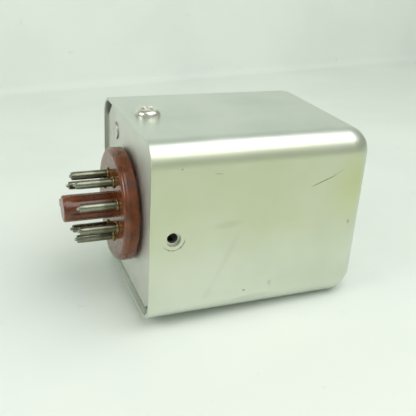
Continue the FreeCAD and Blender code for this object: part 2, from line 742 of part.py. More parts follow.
def make_bracket_rivets():
    rivets = []
    foot_top = pan_back + S.bracket_thickness
    for sign in (-1, 1):
        profile = [(pan_x - S.rivet_head_height, 0), (pan_x - S.rivet_head_height, S.rivet_head_radius),
                   (pan_x, S.rivet_head_radius), (pan_x, S.rivet_radius),
                   (foot_top, S.rivet_radius), (foot_top, S.rivet_head_radius),
                   (foot_top + S.rivet_head_height, S.rivet_head_radius),
                   (foot_top + S.rivet_head_height, 0)]
        rounds = [(pan_x - S.rivet_head_height, S.rivet_head_radius, S.rivet_head_height * 0.8),
                  (foot_top + S.rivet_head_height, S.rivet_head_radius, S.rivet_head_height * 0.8)]
        rivets.append(turned("Rivet", profile, rounds, S.rivet_y, S.rivet_z * sign, final=False))
    keep("bracket_rivets", group(rivets))


frame_screw_x = frame_x + S.frame_screw_rise
frame_screw_z = S.frame_screw_spread
board_screw_x = coil_x + S.board_screw_rise
board_screw_z = S.board_screw_spread


def make_frame():
    wide = S.frame_width / 2
    narrow = S.frame_tab_width / 2
    coil_side = -(bobbin_radius - S.coil_y)
    foot = box((frame_x, coil_x), (coil_side, leg_out), both(wide))
    tongue = box((frame_x, coil_x), (-board_in, coil_side + 1), both(narrow))
    tab = box((frame_x, frame_x + S.frame_tab_height), (-board_in, -board_in + S.frame_thickness),
              both(narrow))
    shoulder = hinge_x - S.knuckle_radius - S.knuckle_gap
    leg = box((frame_x, shoulder), (leg_in, leg_out), both(wide))
    neck = box((shoulder - 1, hinge_x), (leg_in, leg_out), both(S.knuckle_width / 2))
    knuckle = rod("Z", hinge_x, hinge_y, -S.knuckle_width / 2, S.knuckle_width, S.knuckle_radius)
    bore = rod("Z", hinge_x, hinge_y, -S.knuckle_width, S.knuckle_width * 2,
               S.hinge_pin_radius + S.hinge_clearance)
    core_hole = rod("X", frame_x - 1, S.coil_y, 0, S.frame_thickness + 2, S.core_rivet_radius)
    leg_holes = [rod("Y", frame_screw_x, leg_in - 1, frame_screw_z * sign, S.frame_thickness + 2,
                     S.small_screw_radius) for sign in (-1, 1)]
    tab_holes = [rod("Y", board_screw_x, -board_in - 1, board_screw_z * sign,
                     S.frame_thickness + 2, S.small_screw_radius) for sign in (-1, 1)]
    solid = cut(fuse(foot, tongue, tab, leg, neck, knuckle), bore, core_hole, *leg_holes, *tab_holes)
    doc.recompute()
    corners = []
    for number, edge in enumerate(solid.Shape.Edges, start=1):
        centre = edge.CenterOfMass
        at_foot = runs_along(edge, "z") and abs(centre.x - frame_x.number) < 1e-4
        outer = min(abs(centre.y - leg_out.number), abs(centre.y + board_in.number)) < 1e-4
        if at_foot and outer:
            radius = S.frame_thickness.number
            corners.append((number, radius, radius))
    bent = doc.addObject("Part::Fillet", "Bent")
    bent.Base = solid
    bent.Edges = corners
    keep("relay_frame", bent)


def slotted_screw(x, y, z, turn, length):
    """Cheese-head screw whose head seats at a point, with its shank along the turned X axis."""
    body = new_body("Screw")
    head = S.small_head_height
    revolve(body, [(-head, 0), (-head, S.small_head_radius), (0, S.small_head_radius),
                   (0, S.small_screw_radius), (length, S.small_screw_radius), (length, 0)])
    round_edges(body, head * 0.3, lambda edge: is_ring(edge, -head, S.small_head_radius))
    place(body, x, y, z, turn)
    slot = box((-head - 1, -head + S.slot_depth), both(S.slot_width / 2), both(S.small_head_radius + 1))
    slot.Placement = body.Placement.multiply(slot.Placement)
    for axis in "xyz":
        slot.setExpression(f"Placement.Base.{axis}", None)
    return cut(body, slot)


def make_frame_screws():
    inward = Rotation(Vector(0, 0, 1), -90)
    screws = [slotted_screw(frame_screw_x, bracket_out, frame_screw_z * sign, inward,
                            S.bracket_thickness + S.frame_thickness) for sign in (-1, 1)]
    keep("frame_screws", group(screws))


# ---------------------------------------------------------------- coil

bobbin_x = coil_x + S.bobbin_play
bobbin_end = pole_x - S.pole_thickness - S.bobbin_cap_gap
tube_radius = S.core_radius + S.bobbin_clearance + S.bobbin_wall
winding_x = bobbin_x + S.bobbin_flange
winding_end = bobbin_end - S.bobbin_flange


def make_core():
    cap = pole_x - S.pole_thickness
    profile = [(frame_x, 0), (frame_x, S.core_rivet_radius), (coil_x, S.core_rivet_radius),
               (coil_x, S.core_radius), (cap, S.core_radius), (cap, S.pole_radius),
               (pole_x, S.pole_radius), (pole_x, 0)]
    turned("coil_core", profile, [(pole_x, S.pole_radius, S.small_round)], S.coil_y, 0)


def lug_box(sign):
    y = -pin_place(3)[0]
    low = bobbin_x + (S.bobbin_flange - S.lug_thickness) / 2
    z = sorted(((bobbin_radius - S.lug_root) * sign, lug_tip * sign), key=lambda size: size.number)
    return box((low, low + S.lug_thickness), (y - S.lug_width / 2, y + S.lug_width / 2), z)


def make_bobbin():
    bore = S.core_radius + S.bobbin_clearance
    profile = [(bobbin_x, bore), (bobbin_x, bobbin_radius), (winding_x, bobbin_radius),
               (winding_x, tube_radius), (winding_end, tube_radius), (winding_end, bobbin_radius),
               (bobbin_end, bobbin_radius), (bobbin_end, bore)]
    blank = turned("BobbinBlank", profile, (), S.coil_y, 0, final=False)
    keep("coil_bobbin", cut(blank, lug_box(-1), lug_box(1)))
    keep("coil_terminals", group([lug_box(-1), lug_box(1)]))


def make_winding():
    wrap_radius = S.winding_radius + S.wrap_thickness
    for label, inner, outer in (("coil_winding", tube_radius, S.winding_radius),
                                ("coil_wrap", S.winding_radius, wrap_radius)):
        profile = [(winding_x, inner), (winding_x, outer), (winding_end, outer), (winding_end, inner)]
        turned(label, profile, (), S.coil_y, 0)


# ---------------------------------------------------------------- armature and what it carries

bar_screw_y = bar_start + S.bar_screw_inset
bar_screw_z = S.bar_screw_spread
blade_rivet_y = (bar_start + S.blade_rivet_inset, bar_end - S.blade_rivet_inset)


def make_armature():
    half = S.armature_width / 2
    room = S.knuckle_radius + S.hinge_gap
    plate = box((armature_x, armature_top), (-S.armature_reach, hinge_y + S.armature_tail), both(half))
    bosses = rod("Z", hinge_x, hinge_y, -half, S.armature_width, S.knuckle_radius)
    window = box((armature_x - 5, armature_top + 5), (hinge_y - room, hinge_y + room),
                 both(S.knuckle_width / 2 + S.knuckle_side_gap))
    pin_hole = rod("Z", hinge_x, hinge_y, -half - 1, S.armature_width + 2, S.hinge_pin_radius)
    stud_hole = rod("X", armature_x - 1, S.coil_y, 0, S.armature_thickness + 2, S.stud_radius)
    spring_hole = rod("X", armature_x - 1, hinge_y + S.spring_offset, 0, S.armature_thickness + 2,
                      S.spring_hole_radius)
    screw_holes = [rod("X", armature_x - 1, -bar_screw_y, bar_screw_z * sign,
                       S.armature_thickness + 2, S.small_screw_radius) for sign in (-1, 1)]
    keep("armature_plate", cut(fuse(plate, bosses), window, pin_hole, stud_hole, spring_hole,
                               *screw_holes), SWING)
    pin = rod("Z", hinge_x, hinge_y, -half - S.hinge_pin_overhang,
              S.armature_width + S.hinge_pin_overhang * 2, S.hinge_pin_radius)
    keep("hinge_pin", group([pin]), SWING)
    stud = rod("X", armature_x - S.stud_proud, S.coil_y, 0, S.armature_thickness + S.stud_proud,
               S.stud_radius)
    keep("residual_stud", group([stud]), SWING)


def make_bar():
    bar = box((armature_top, armature_top + S.bar_thickness), (-bar_end, -bar_start),
              both(S.bar_width / 2))
    holes = [rod("X", armature_top - 1, -bar_screw_y, bar_screw_z * sign, S.bar_thickness + 2,
                 S.small_screw_radius) for sign in (-1, 1)]
    holes += [rod("X", armature_top - 1, -y, S.contact_z * sign, S.bar_thickness + 2,
                  S.small_rivet_radius) for sign in (-1, 1) for y in blade_rivet_y]
    keep("contact_bar", cut(bar, *holes), SWING)
    down = Rotation(Vector(0, 0, 1), 180)
    screws = [slotted_screw(armature_top + S.bar_thickness, -bar_screw_y, bar_screw_z * sign, down,
                            S.bar_thickness + S.armature_thickness) for sign in (-1, 1)]
    keep("bar_screws", group(screws), SWING)


def rivet(axis, low, high, centre):
    """Rivet along an axis with a head at each end; centre holds the other two coordinates."""
    height = S.small_rivet_height

    def part(start, length, radius):
        where = (start, *centre) if axis == "X" else (centre[0], start, centre[1])
        return rod(axis, *where, length, radius)

    return fuse(part(low, high - low, S.small_rivet_radius), part(low - height, height, S.small_rivet_head),
                part(high, height, S.small_rivet_head))


def make_blades():
    for side, sign in ((1, 1), (2, -1)):
        z = S.contact_z * sign
        half = S.blade_width / 2
        reach = S.contact_reach + S.contact_radius
        blade = box((blade_x, armature_top), (-reach, S.blade_tail), (z - half, z + half))
        holes = [rod("X", blade_x - 1, -y, z, S.blade_thickness + 2, S.small_rivet_radius)
                 for y in blade_rivet_y]
        holes.append(rod("X", blade_x - 1, -S.contact_reach, z, S.blade_thickness + 2,
                         S.contact_shank_radius))
        keep(f"moving_blade_{side}", cut(blade, *holes), SWING)
    rivets = [rivet("X", blade_x, armature_top + S.bar_thickness, (-y, S.contact_z * sign))
              for sign in (-1, 1) for y in blade_rivet_y]
    keep("blade_rivets", group(rivets), SWING)
    contacts = []
    for sign in (-1, 1):
        profile = [(moving_low, 0), (moving_low, S.contact_radius), (blade_x, S.contact_radius),
                   (blade_x, S.contact_shank_radius), (armature_top, S.contact_shank_radius),
                   (armature_top, S.contact_radius), (moving_high, S.contact_radius),
                   (moving_high, 0)]
        rounds = [(moving_low, S.contact_radius, S.small_round),
                  (moving_high, S.contact_radius, S.small_round)]
        contacts.append(turned("Contact", profile, rounds, -S.contact_reach, S.contact_z * sign,
                               final=False))
    keep("moving_contacts", group(contacts), SWING)


# ---------------------------------------------------------------- contact board and fixed arms

make_arm_rivets = [(S.make_arm_tail + S.arm_rivet_first, 0),
                   (S.make_arm_tail + S.arm_rivet_first + S.arm_rivet_pitch, 0)]
break_arm_rivets = [(S.break_arm_top - S.arm_rivet_inset, offset)
                    for offset in both(S.arm_rivet_spread)]


def arm_rivet_places():
    for sign in (-1, 1):
        for along, across in make_arm_rivets + break_arm_rivets:
            yield along, S.contact_z * sign + across


def make_board():
    half = S.board_width / 2
    board = box((S.board_start, S.board_end), (-board_out, -board_in), both(half))
    holes = [rod("Y", along, -board_out - 1, z, S.board_thickness + 2, S.small_rivet_radius)
             for along, z in arm_rivet_places()]
    holes += [rod("Y", board_screw_x, -board_out - 1, board_screw_z * sign, S.board_thickness + 2,
                  S.small_screw_radius) for sign in (-1, 1)]
    keep("contact_board", cut(board, *holes))
    outward = Rotation(Vector(0, 0, 1), 90)
    screws = [slotted_screw(board_screw_x, -board_out, board_screw_z * sign, outward,
                            S.board_thickness + S.frame_thickness) for sign in (-1, 1)]
    keep("board_screws", group(screws))
    rivets = [rivet("Y", -board_out, -arm_face, (along, z)) for along, z in arm_rivet_places()]
    keep("arm_rivets", group(rivets))


def make_arms():
    half = S.blade_width / 2
    tip = S.contact_reach - S.arm_past_contact
    for side, sign in ((1, 1), (2, -1)):
        z = S.contact_z * sign
        across = (z - half, z + half)
        arms = {
            "make_arm": (box((S.make_arm_tail, make_x + S.arm_thickness), (-board_in, -arm_face), across),
                         make_x, make_arm_rivets),
            "break_arm": (box((break_x, S.break_arm_top), (-board_in, -arm_face), across),
                          break_x, break_arm_rivets),
        }
        for name, (leg, level, rivets) in arms.items():
            shelf = box((level, level + S.arm_thickness), (-board_in, -tip), across)
            holes = [rod("Y", along, -board_in - 1, z + offset, S.arm_thickness + 2,
                         S.small_rivet_radius) for along, offset in rivets]
            holes.append(rod("X", level - 1, -S.contact_reach, z, S.arm_thickness + 2,
                             S.contact_shank_radius))
            keep(f"{name}_{side}", cut(fuse(leg, shelf), *holes))


def make_fixed_contacts():
    for label, face, seat, back in (
            ("make_contacts", make_top, make_x + S.arm_thickness, make_x),
            ("break_contacts", break_low, break_x, break_x + S.arm_thickness)):
        buttons = []
        for sign in (-1, 1):
            profile = [(face, 0), (face, S.contact_radius), (seat, S.contact_radius),
                       (seat, S.contact_shank_radius), (back, S.contact_shank_radius), (back, 0)]
            buttons.append(turned("Button", profile, [(face, S.contact_radius, S.small_round)],
                                  -S.contact_reach, S.contact_z * sign, final=False))
        keep(label, group(buttons))


# ---------------------------------------------------------------- leads

sleeve_top = hinge_x - S.sleeve_drop
sleeve_x = sleeve_top - S.sleeve_length
sleeve_middle = sleeve_x + S.sleeve_length / 2
sleeve_z = S.frame_width / 2 + S.sleeve_offset
lead_face = board_in - S.lead_radius - S.lead_clearance
side_lead_z = S.contact_z + S.blade_width / 2 + S.lead_radius + S.lead_side_gap


def lead_routes(sign):
    """Where each lead of one side turns, from its pin's tail to its end."""
    numbers_of = {"coil": 2, "make": 3, "break": 4, "common": 1}
    if sign < 0:
        numbers_of = {name: 9 - number for name, number in numbers_of.items()}
    lug_x = bobbin_x + (S.bobbin_flange - S.lug_thickness) / 2
    lug_z = (lug_tip - S.lead_overlap) * sign
    ends = {
        "coil": (S.coil_lead_rise, pin_place(numbers_of["coil"])[0], lug_z, lug_x),
        "make": (S.make_lead_rise, -lead_face, S.contact_z * sign, S.make_arm_tail),
        "break": (S.break_lead_rise, -lead_face, side_lead_z * sign, S.break_arm_top - S.lead_overlap),
        "common": (S.common_lead_rise, hinge_y, sleeve_z * sign, sleeve_middle),
    }
    for name, (rise, end_y, end_z, end_along) in ends.items():
        y, z = pin_place(numbers_of[name])
        level = pin_tail + rise
        route = [(pin_tail, y, z), (level, y, z), (level, end_y, end_z), (end_along, end_y, end_z)]
        if name == "break":
            route.append((end_along, end_y, (S.contact_z + S.blade_width / 2) * sign))
        yield name, route


def make_leads():
    for side, sign in ((1, 1), (2, -1)):
        for name, route in lead_routes(sign):
            lead = doc.addObject("Part::Feature", "Lead")
            bar = sweep_route(route, S.lead_radius)
            inner_end = numbers(bead_end, route[0][1], route[0][2])
            length = pin_tail.number - inner_end.x
            conductor = Part.makeCylinder(S.strand_radius.number, length, inner_end, Vector(1, 0, 0))
            lead.Shape = bar.fuse(conductor).removeSplitter()
            keep(f"{name}_lead_{side}", lead)


def make_pigtails():
    high = armature_top + S.pigtail_rise
    low = sleeve_middle + S.sleeve_room
    for side, sign in ((1, 1), (2, -1)):
        z = sleeve_z * sign
        tail_y = S.blade_tail - S.pigtail_inset
        route = [(low, hinge_y, z), (high, hinge_y, z), (high, tail_y, z), (armature_top, tail_y, z)]
        pigtail = doc.addObject("Part::Feature", "Pigtail")
        pigtail.Shape = sweep_route(route, S.strand_radius)
        keep(f"pigtail_{side}", pigtail, SWING)


def make_sleeves():
    """Fibre sleeves: the narrow half grips the fixed lead, the wide half clears the pigtail."""
    wide = S.strand_radius + S.sleeve_room
    sleeves = []
    for sign in (-1, 1):
        profile = [(sleeve_x, S.lead_radius), (sleeve_x, wide + S.sleeve_wall),
                   (sleeve_top, wide + S.sleeve_wall), (sleeve_top, wide), (sleeve_middle, wide),
                   (sleeve_middle, S.lead_radius)]
        sleeves.append(turned("Sleeve", profile, (), hinge_y, sleeve_z * sign, final=False))
    keep("lead_sleeves", group(sleeves))


# ---------------------------------------------------------------- return spring

def make_spring():
    """Extension spring of one wire: a hook in the bracket's lug, the coil, a hook in the armature.

    It is drawn about its own Z axis, from the lug up, and then laid along X.
    """
    wire = S.spring_wire.number
    radius = S.spring_radius.number
    pitch = S.spring_pitch.number
    height = pitch * S.spring_turns.number
    low = (S.bracket_height - S.bracket_thickness - S.spring_wire).number
    high = (armature_top + S.spring_wire + S.spring_play).number
    start = (S.bracket_height.number + armature_x.number - height) / 2
    lead_in = Vector(0, 2 * math.pi * radius, pitch).normalize() * (radius * 0.9)
    bottom = Vector(radius, 0, 0)
    top = Vector(radius, 0, height)
    rise = Vector(0, 0, radius * 0.6)
    hook = Vector(0, radius, 0)
    lower = [Vector(0, 0, low - start) + hook, Vector(0, 0, low - start), -rise, bottom - lead_in, bottom]
    upper = [top, top + lead_in, Vector(0, 0, height) + rise, Vector(0, 0, high - start),
             Vector(0, 0, high - start) + hook]
    bend = wire * 2
    edges = runs_and_arcs(lower, bend) + Part.makeHelix(pitch, height, radius).Edges
    edges += runs_and_arcs(upper, bend)
    spring = doc.addObject("Part::Feature", "Spring")
    spring.Shape = sweep(edges, lower[0], lower[1] - lower[0], wire)
    axis = Vector(start, (hinge_y + S.spring_offset).number, 0)
    spring.Placement = Placement(axis, Rotation(Vector(0, 1, 0), 90))
    keep("return_spring", spring)


make_cover()
make_pan()
make_cover_screws()
make_key_post()
make_plug()
make_pins()
make_retaining_ring()
make_bracket()
make_bracket_rivets()
make_frame()
make_frame_screws()
make_core()
make_bobbin()
make_winding()
make_armature()
make_bar()
make_blades()
make_board()
make_arms()
make_fixed_contacts()
make_leads()
make_pigtails()
make_sleeves()
make_spring()

# ---------------------------------------------------------------- checks and files

doc.recompute()
for item in doc.Objects:
    if "Invalid" in item.State or "Error" in item.State:
        raise RuntimeError(f"{item.Name} ({item.Label}) did not recompute: {item.State}")
for item in SUBPARTS:
    if item.Shape.isNull() or not item.Shape.isValid() or not item.Shape.Solids:
        raise RuntimeError(f"{item.Label} has no valid solid")

os.makedirs("parts", exist_ok=True)
for item in SUBPARTS:
    item.Shape.exportStep(f"parts/{item.Label}.step")
    bounds = item.Shape.BoundBox
    print(f"{item.Label}: {len(item.Shape.Solids)} solids, {item.Shape.Volume:.1f} mm3, "
          f"x {bounds.XMin:.2f}..{bounds.XMax:.2f}, y {bounds.YMin:.2f}..{bounds.YMax:.2f}, "
          f"z {bounds.ZMin:.2f}..{bounds.ZMax:.2f}")
print(f"{len(SUBPARTS)} sub-parts")
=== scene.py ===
# %% [markdown]
# # A plug in relay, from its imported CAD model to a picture
#
# The object is a relay in a square aluminium can with an eight-pin plug on its end. The CAD model
# gives every piece its place and its motion. This lesson gives each piece its finish, and builds
# again, as finer surfaces, the pieces whose shape carries the look: the screws, the plug pins,
# the solder, the coil and the flexible leads. Lengths in the text are in millimetres, and one
# factor turns them to Blender's metres.

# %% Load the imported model
import json
import math

import bmesh
import bpy
import numpy as np
from mathutils import Matrix, Vector


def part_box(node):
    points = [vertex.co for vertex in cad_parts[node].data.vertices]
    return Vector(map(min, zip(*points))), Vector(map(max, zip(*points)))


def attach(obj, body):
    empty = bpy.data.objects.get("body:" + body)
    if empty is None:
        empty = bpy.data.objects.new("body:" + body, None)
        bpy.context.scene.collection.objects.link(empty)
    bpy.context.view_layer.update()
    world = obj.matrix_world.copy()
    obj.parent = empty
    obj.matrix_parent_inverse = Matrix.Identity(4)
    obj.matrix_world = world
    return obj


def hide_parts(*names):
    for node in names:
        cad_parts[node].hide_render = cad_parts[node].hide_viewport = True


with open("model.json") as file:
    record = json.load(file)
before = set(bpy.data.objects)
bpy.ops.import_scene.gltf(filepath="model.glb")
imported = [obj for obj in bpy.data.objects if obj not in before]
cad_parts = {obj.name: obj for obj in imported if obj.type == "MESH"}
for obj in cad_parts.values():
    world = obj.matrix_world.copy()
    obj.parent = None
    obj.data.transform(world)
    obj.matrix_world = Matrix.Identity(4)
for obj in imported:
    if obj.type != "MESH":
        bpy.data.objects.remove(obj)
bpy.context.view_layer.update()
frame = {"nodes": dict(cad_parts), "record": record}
MM = 0.001

# %% [markdown]
# ## Small helpers
#
# Colours are written as the hex codes that a picture editor shows. Those are sRGB, but a shader
# works in linear light, so one function turns them. A second function adds a node, sets what it
# is told to set, and links what it is told to link, so a material reads as a list of steps.


# %% Colour and node helpers
def linear(code):
    """sRGB hex code to linear RGBA: the low end is divided, the rest follows a 2.4 power."""
    parts = np.array([int(code[i:i + 2], 16) for i in (1, 3, 5)]) / 255
    low = parts / 12.92
    high = ((parts + 0.055) / 1.055) ** 2.4
    return (*np.where(parts <= 0.04045, low, high).tolist(), 1.0)


def add(tree, kind, inputs=None, **settings):
    """Adds one node; a socket given as an input is linked, and any other value is set."""
    node = tree.nodes.new(kind)
    for name, value in settings.items():
        setattr(node, name, value)
    for socket, value in (inputs or {}).items():
        if isinstance(value, bpy.types.NodeSocket):
            tree.links.new(value, node.inputs[socket])
        else:
            node.inputs[socket].default_value = value
    return node


# %% [markdown]
# ## Where the camera stands
#
# The camera looks a little down on the plug end, from in front and to the left. Its place is
# worked out from two angles and a distance, and its roll turns it about the line of sight.

# %% Camera
scene = bpy.context.scene
scene.view_settings.view_transform = "Standard"
AZIMUTH = math.radians(-22.56)
ELEVATION = math.radians(24.2)
ROLL = math.radians(3.64)
DISTANCE = 193.56 * MM
TARGET = Vector((29.63, 0.0, -4.37)) * MM
LENS = 55.7


def camera_axes():
    """Right, up and back of the camera; back points from the target to the camera."""
    back = Vector((math.sin(AZIMUTH) * math.cos(ELEVATION),
                   -math.cos(AZIMUTH) * math.cos(ELEVATION), math.sin(ELEVATION)))
    right = (-back).cross(Vector((0, 0, 1))).normalized()
    up = right.cross(-back)
    rolled_right = math.cos(ROLL) * right + math.sin(ROLL) * up
    rolled_up = -math.sin(ROLL) * right + math.cos(ROLL) * up
    return rolled_right, rolled_up, back


right, up, back = camera_axes()
camera = bpy.data.objects.new("camera", bpy.data.cameras.new("camera"))
camera.data.lens = LENS
camera.data.clip_start = 5 * MM
camera.data.clip_end = 10
camera.matrix_world = Matrix((right, up, back)).transposed().to_4x4()
camera.location = TARGET + back * DISTANCE
scene.collection.objects.link(camera)
scene.camera = camera
print("camera at", [round(v / MM, 1) for v in camera.location])

# %% [markdown]
# ## Table and backdrop
#
# The relay lies on its side. It rests on the head of the bottom cover screw and on the edge of its
# closed end, so the table is not parallel to the can: it rises by about two and a half degrees
# towards the closed end. The table and the wall behind it are one sheet, a profile carried along a
# line, with a small cove where they meet. Its colour is plain and pale.

# %% Table and backdrop
TABLE_TILT = math.radians(2.47)
TABLE_POINT = Vector((12.3, 0.0, -27.5)) * MM
WALL_DISTANCE = 234.7 * MM
WALL_TURN = math.radians(1.85)
COVE = 5 * MM


def mesh_object(name, patches, merge=True):
    """One mesh from several grids of points.

    Each patch is (points, wrap_rows, wrap_columns), with points of shape (rows, columns, 3). Each
    cell of a grid becomes a face, and a wrapped direction also joins its last line to its first.
    Points that fall together, as at a pole, are merged, and the faces are turned outwards.
    """
    points, faces, first = [], [], 0
    for grid, wrap_rows, wrap_columns in patches:
        rows, columns = grid.shape[:2]
        index = np.arange(rows * columns).reshape(rows, columns)
        low = index if wrap_rows else index[:-1]
        high = np.roll(index, -1, 0) if wrap_rows else index[1:]
        if wrap_columns:
            quads = (low, np.roll(low, -1, 1), np.roll(high, -1, 1), high)
        else:
            quads = (low[:, :-1], low[:, 1:], high[:, 1:], high[:, :-1])
        faces.append(np.stack(quads, -1).reshape(-1, 4) + first)
        points.append(grid.reshape(-1, 3))
        first += rows * columns
    mesh = bpy.data.meshes.new(name)
    mesh.from_pydata(np.concatenate(points).tolist(), [], np.concatenate(faces).tolist())
    if merge:
        work = bmesh.new()
        work.from_mesh(mesh)
        bmesh.ops.remove_doubles(work, verts=work.verts, dist=1e-7)
        bmesh.ops.recalc_face_normals(work, faces=work.faces)
        work.to_mesh(mesh)
        work.free()
    mesh.polygons.foreach_set("use_smooth", np.ones(len(mesh.polygons), bool))
    piece = bpy.data.objects.new(name, mesh)
    scene.collection.objects.link(piece)
    return piece


def table_sheet():
    """A floor, a quarter-round cove and a wall: a profile carried from side to side."""
    turn = np.linspace(0, math.pi / 2, 13)
    depth = np.concatenate(([-3.0], WALL_DISTANCE - COVE + COVE * np.sin(turn), [WALL_DISTANCE]))
    height = np.concatenate(([0.0], COVE - COVE * np.cos(turn), [2.5]))
    side = np.linspace(-3.0, 3.0, 3)[:, None]
    x = side * math.cos(WALL_TURN) - depth * math.sin(WALL_TURN)
    y = side * math.sin(WALL_TURN) + depth * math.cos(WALL_TURN)
    z = np.broadcast_to(height, x.shape)
    turned_x = TABLE_POINT.x + x * math.cos(TABLE_TILT) - z * math.sin(TABLE_TILT)
    turned_z = TABLE_POINT.z + x * math.sin(TABLE_TILT) + z * math.cos(TABLE_TILT)
    return np.stack((turned_x, y, turned_z), -1)


table = mesh_object("table", [(table_sheet(), False, False)], merge=False)

# %% [markdown]
# ## Light
#
# One large soft lamp hangs overhead, a little in front and to the right. The bent top edge of the
# can mirrors it as a broad white stripe. Weaker lamps at the left and in front stand for a pale
# room, so no part of the bend mirrors a dark band. A pale sky fills the shadows, and its green
# tint is that of a daylight tube.

# %% Light
SKY_COLOUR = "#E6F0E6"
SKY_STRENGTH = 0.425


def lamp(name, place, aim, width, depth, power):
    """A rectangular lamp at a place, turned so that its face looks at the aim."""
    data = bpy.data.lights.new(name, "AREA")
    data.shape = "RECTANGLE"
    data.size = width * MM
    data.size_y = depth * MM
    data.energy = power
    piece = bpy.data.objects.new(name, data)
    piece.location = Vector(place) * MM
    towards = (Vector(aim) - Vector(place)).normalized()
    piece.rotation_euler = towards.to_track_quat("-Z", "Y").to_euler()
    scene.collection.objects.link(piece)


lamp("soft_overhead", (130, -150, 325), (35, -10, 0), 420, 320, 1.02)
lamp("soft_left", (-320, -60, 200), (0, 0, 0), 170, 170, 0.42)
lamp("soft_front", (60, -430, 170), (35, -20, 0), 640, 260, 0.09)

sky = bpy.data.worlds.new("sky")
sky.use_nodes = True
sky.node_tree.nodes["Background"].inputs["Color"].default_value = linear(SKY_COLOUR)
sky.node_tree.nodes["Background"].inputs["Strength"].default_value = SKY_STRENGTH
scene.world = sky

# %% [markdown]
# ## A recipe for a worked surface
#
# Every real surface varies: it is a little darker here, a little duller there, and it has a fine
# texture from how it was made. The recipe starts all materials. One slow noise moves the colour
# between two close shades, another moves the roughness, and a fine noise gives the bump. Sizes are
# real millimetres: a noise repeats about once per `1 / scale`, so the scale is one over the size.
# Coordinates are the object's own, so a pattern stays on its piece when the piece moves.


# %% The recipe
def mix_over(tree, shader, socket, mask, value):
    """Lays a new colour or number over whatever feeds the shader's socket, where the mask is 1."""
    target = shader.inputs[socket]
    kind = "RGBA" if socket == "Base Color" else "FLOAT"
    under = target.links[0].from_socket if target.links else target.default_value
    mix = add(tree, "ShaderNodeMix", data_type=kind)
    for name, source in (("Factor", mask), ("A", under), ("B", value)):
        if isinstance(source, bpy.types.NodeSocket):
            tree.links.new(source, mix.inputs[name])
        else:
            mix.inputs[name].default_value = source
    tree.links.new(mix.outputs["Result"], target)


def worked(name, light, dark, metallic, roughness, patch=8.0, grain=0.3, depth=0.004,
           spread=0.06, stretch=(1, 1, 1), **shader_settings):
    """A material of two shades, with uneven gloss and a fine bump; sizes in mm."""
    material = bpy.data.materials.new(name)
    material.use_nodes = True
    tree = material.node_tree
    shader = tree.nodes["Principled BSDF"]
    shader.inputs["Base Color"].default_value = linear(light)
    shader.inputs["Metallic"].default_value = metallic
    for socket, value in shader_settings.items():
        shader.inputs[socket.replace("_", " ")].default_value = value
    place = add(tree, "ShaderNodeTexCoord").outputs["Object"]
    run = add(tree, "ShaderNodeMapping", {"Vector": place, "Scale": stretch}).outputs["Vector"]
    cloud = add(tree, "ShaderNodeTexNoise", {"Vector": run, "Scale": 1 / (patch * MM),
                                             "Detail": 4.0})
    shade = add(tree, "ShaderNodeMapRange", {"Value": cloud.outputs["Fac"], "From Min": 0.35,
                                             "From Max": 0.68}, interpolation_type="SMOOTHSTEP")
    mix_over(tree, shader, "Base Color", shade.outputs["Result"], linear(dark))
    wear = add(tree, "ShaderNodeTexNoise", {"Vector": run, "Scale": 1 / (patch * 0.6 * MM),
                                            "Detail": 6.0, "Roughness": 0.6})
    gloss = add(tree, "ShaderNodeMapRange", {
        "Value": wear.outputs["Fac"], "From Min": 0.3, "From Max": 0.7,
        "To Min": max(roughness - spread, 0.03), "To Max": roughness + spread})
    tree.links.new(gloss.outputs["Result"], shader.inputs["Roughness"])
    fine = add(tree, "ShaderNodeTexNoise", {"Vector": run, "Scale": 1 / (grain * MM),
                                            "Detail": 3.0})
    bump = add(tree, "ShaderNodeBump", {"Height": fine.outputs["Fac"], "Distance": depth * MM,
                                        "Strength": 1.0})
    tree.links.new(bump.outputs["Normal"], shader.inputs["Normal"])
    return material, tree, shader, place, bump


def blot(tree, place, centre, half, turn=0.0, hard=1.0):
    """Mask of an ellipsoid, in mm: 1 in its middle, 0 at its skin, turned about Y in degrees."""
    local = add(tree, "ShaderNodeMapping", {
        "Vector": place, "Location": [v * MM for v in centre], "Scale": [v * MM for v in half],
        "Rotation": (0, math.radians(-turn), 0)}, vector_type="TEXTURE")
    fall = add(tree, "ShaderNodeTexGradient", {"Vector": local.outputs["Vector"]},
               gradient_type="SPHERICAL")
    edge = add(tree, "ShaderNodeMapRange", {"Value": fall.outputs["Fac"], "From Max": 1.0 / hard},
               interpolation_type="SMOOTHSTEP")
    return edge.outputs["Result"]


def times(tree, mask, other):
    """Product of two masks, or of a mask and a number."""
    return add(tree, "ShaderNodeMath", {0: mask, 1: other}, operation="MULTIPLY").outputs[0]


FINISHES = {}

# %% [markdown]
# ## Painted table and wall
#
# The sheet under the relay is board with matt white emulsion paint. Paint has almost no gloss, and
# the brush or roller leaves a faint orange-peel texture about a millimetre across. A few faint
# grey rubs from use keep it from being one flat colour.

# %% Table finish
paint, tree, shader, place, bump = worked(
    "paint_matt_white_rolled", "#EFF3EC", "#E9EFE8", 0.0, 0.62, patch=60, grain=1.2, depth=0.02,
    IOR=1.5)
rub = add(tree, "ShaderNodeTexNoise", {"Vector": place, "Scale": 1 / (9 * MM), "Detail": 5.0,
                                       "Roughness": 0.7})
grey = add(tree, "ShaderNodeMapRange", {"Value": rub.outputs["Fac"], "From Min": 0.66,
                                        "From Max": 0.78, "To Max": 0.35}).outputs["Result"]
mix_over(tree, shader, "Base Color", grey, linear("#B9BEB6"))
table.data.materials.append(paint)
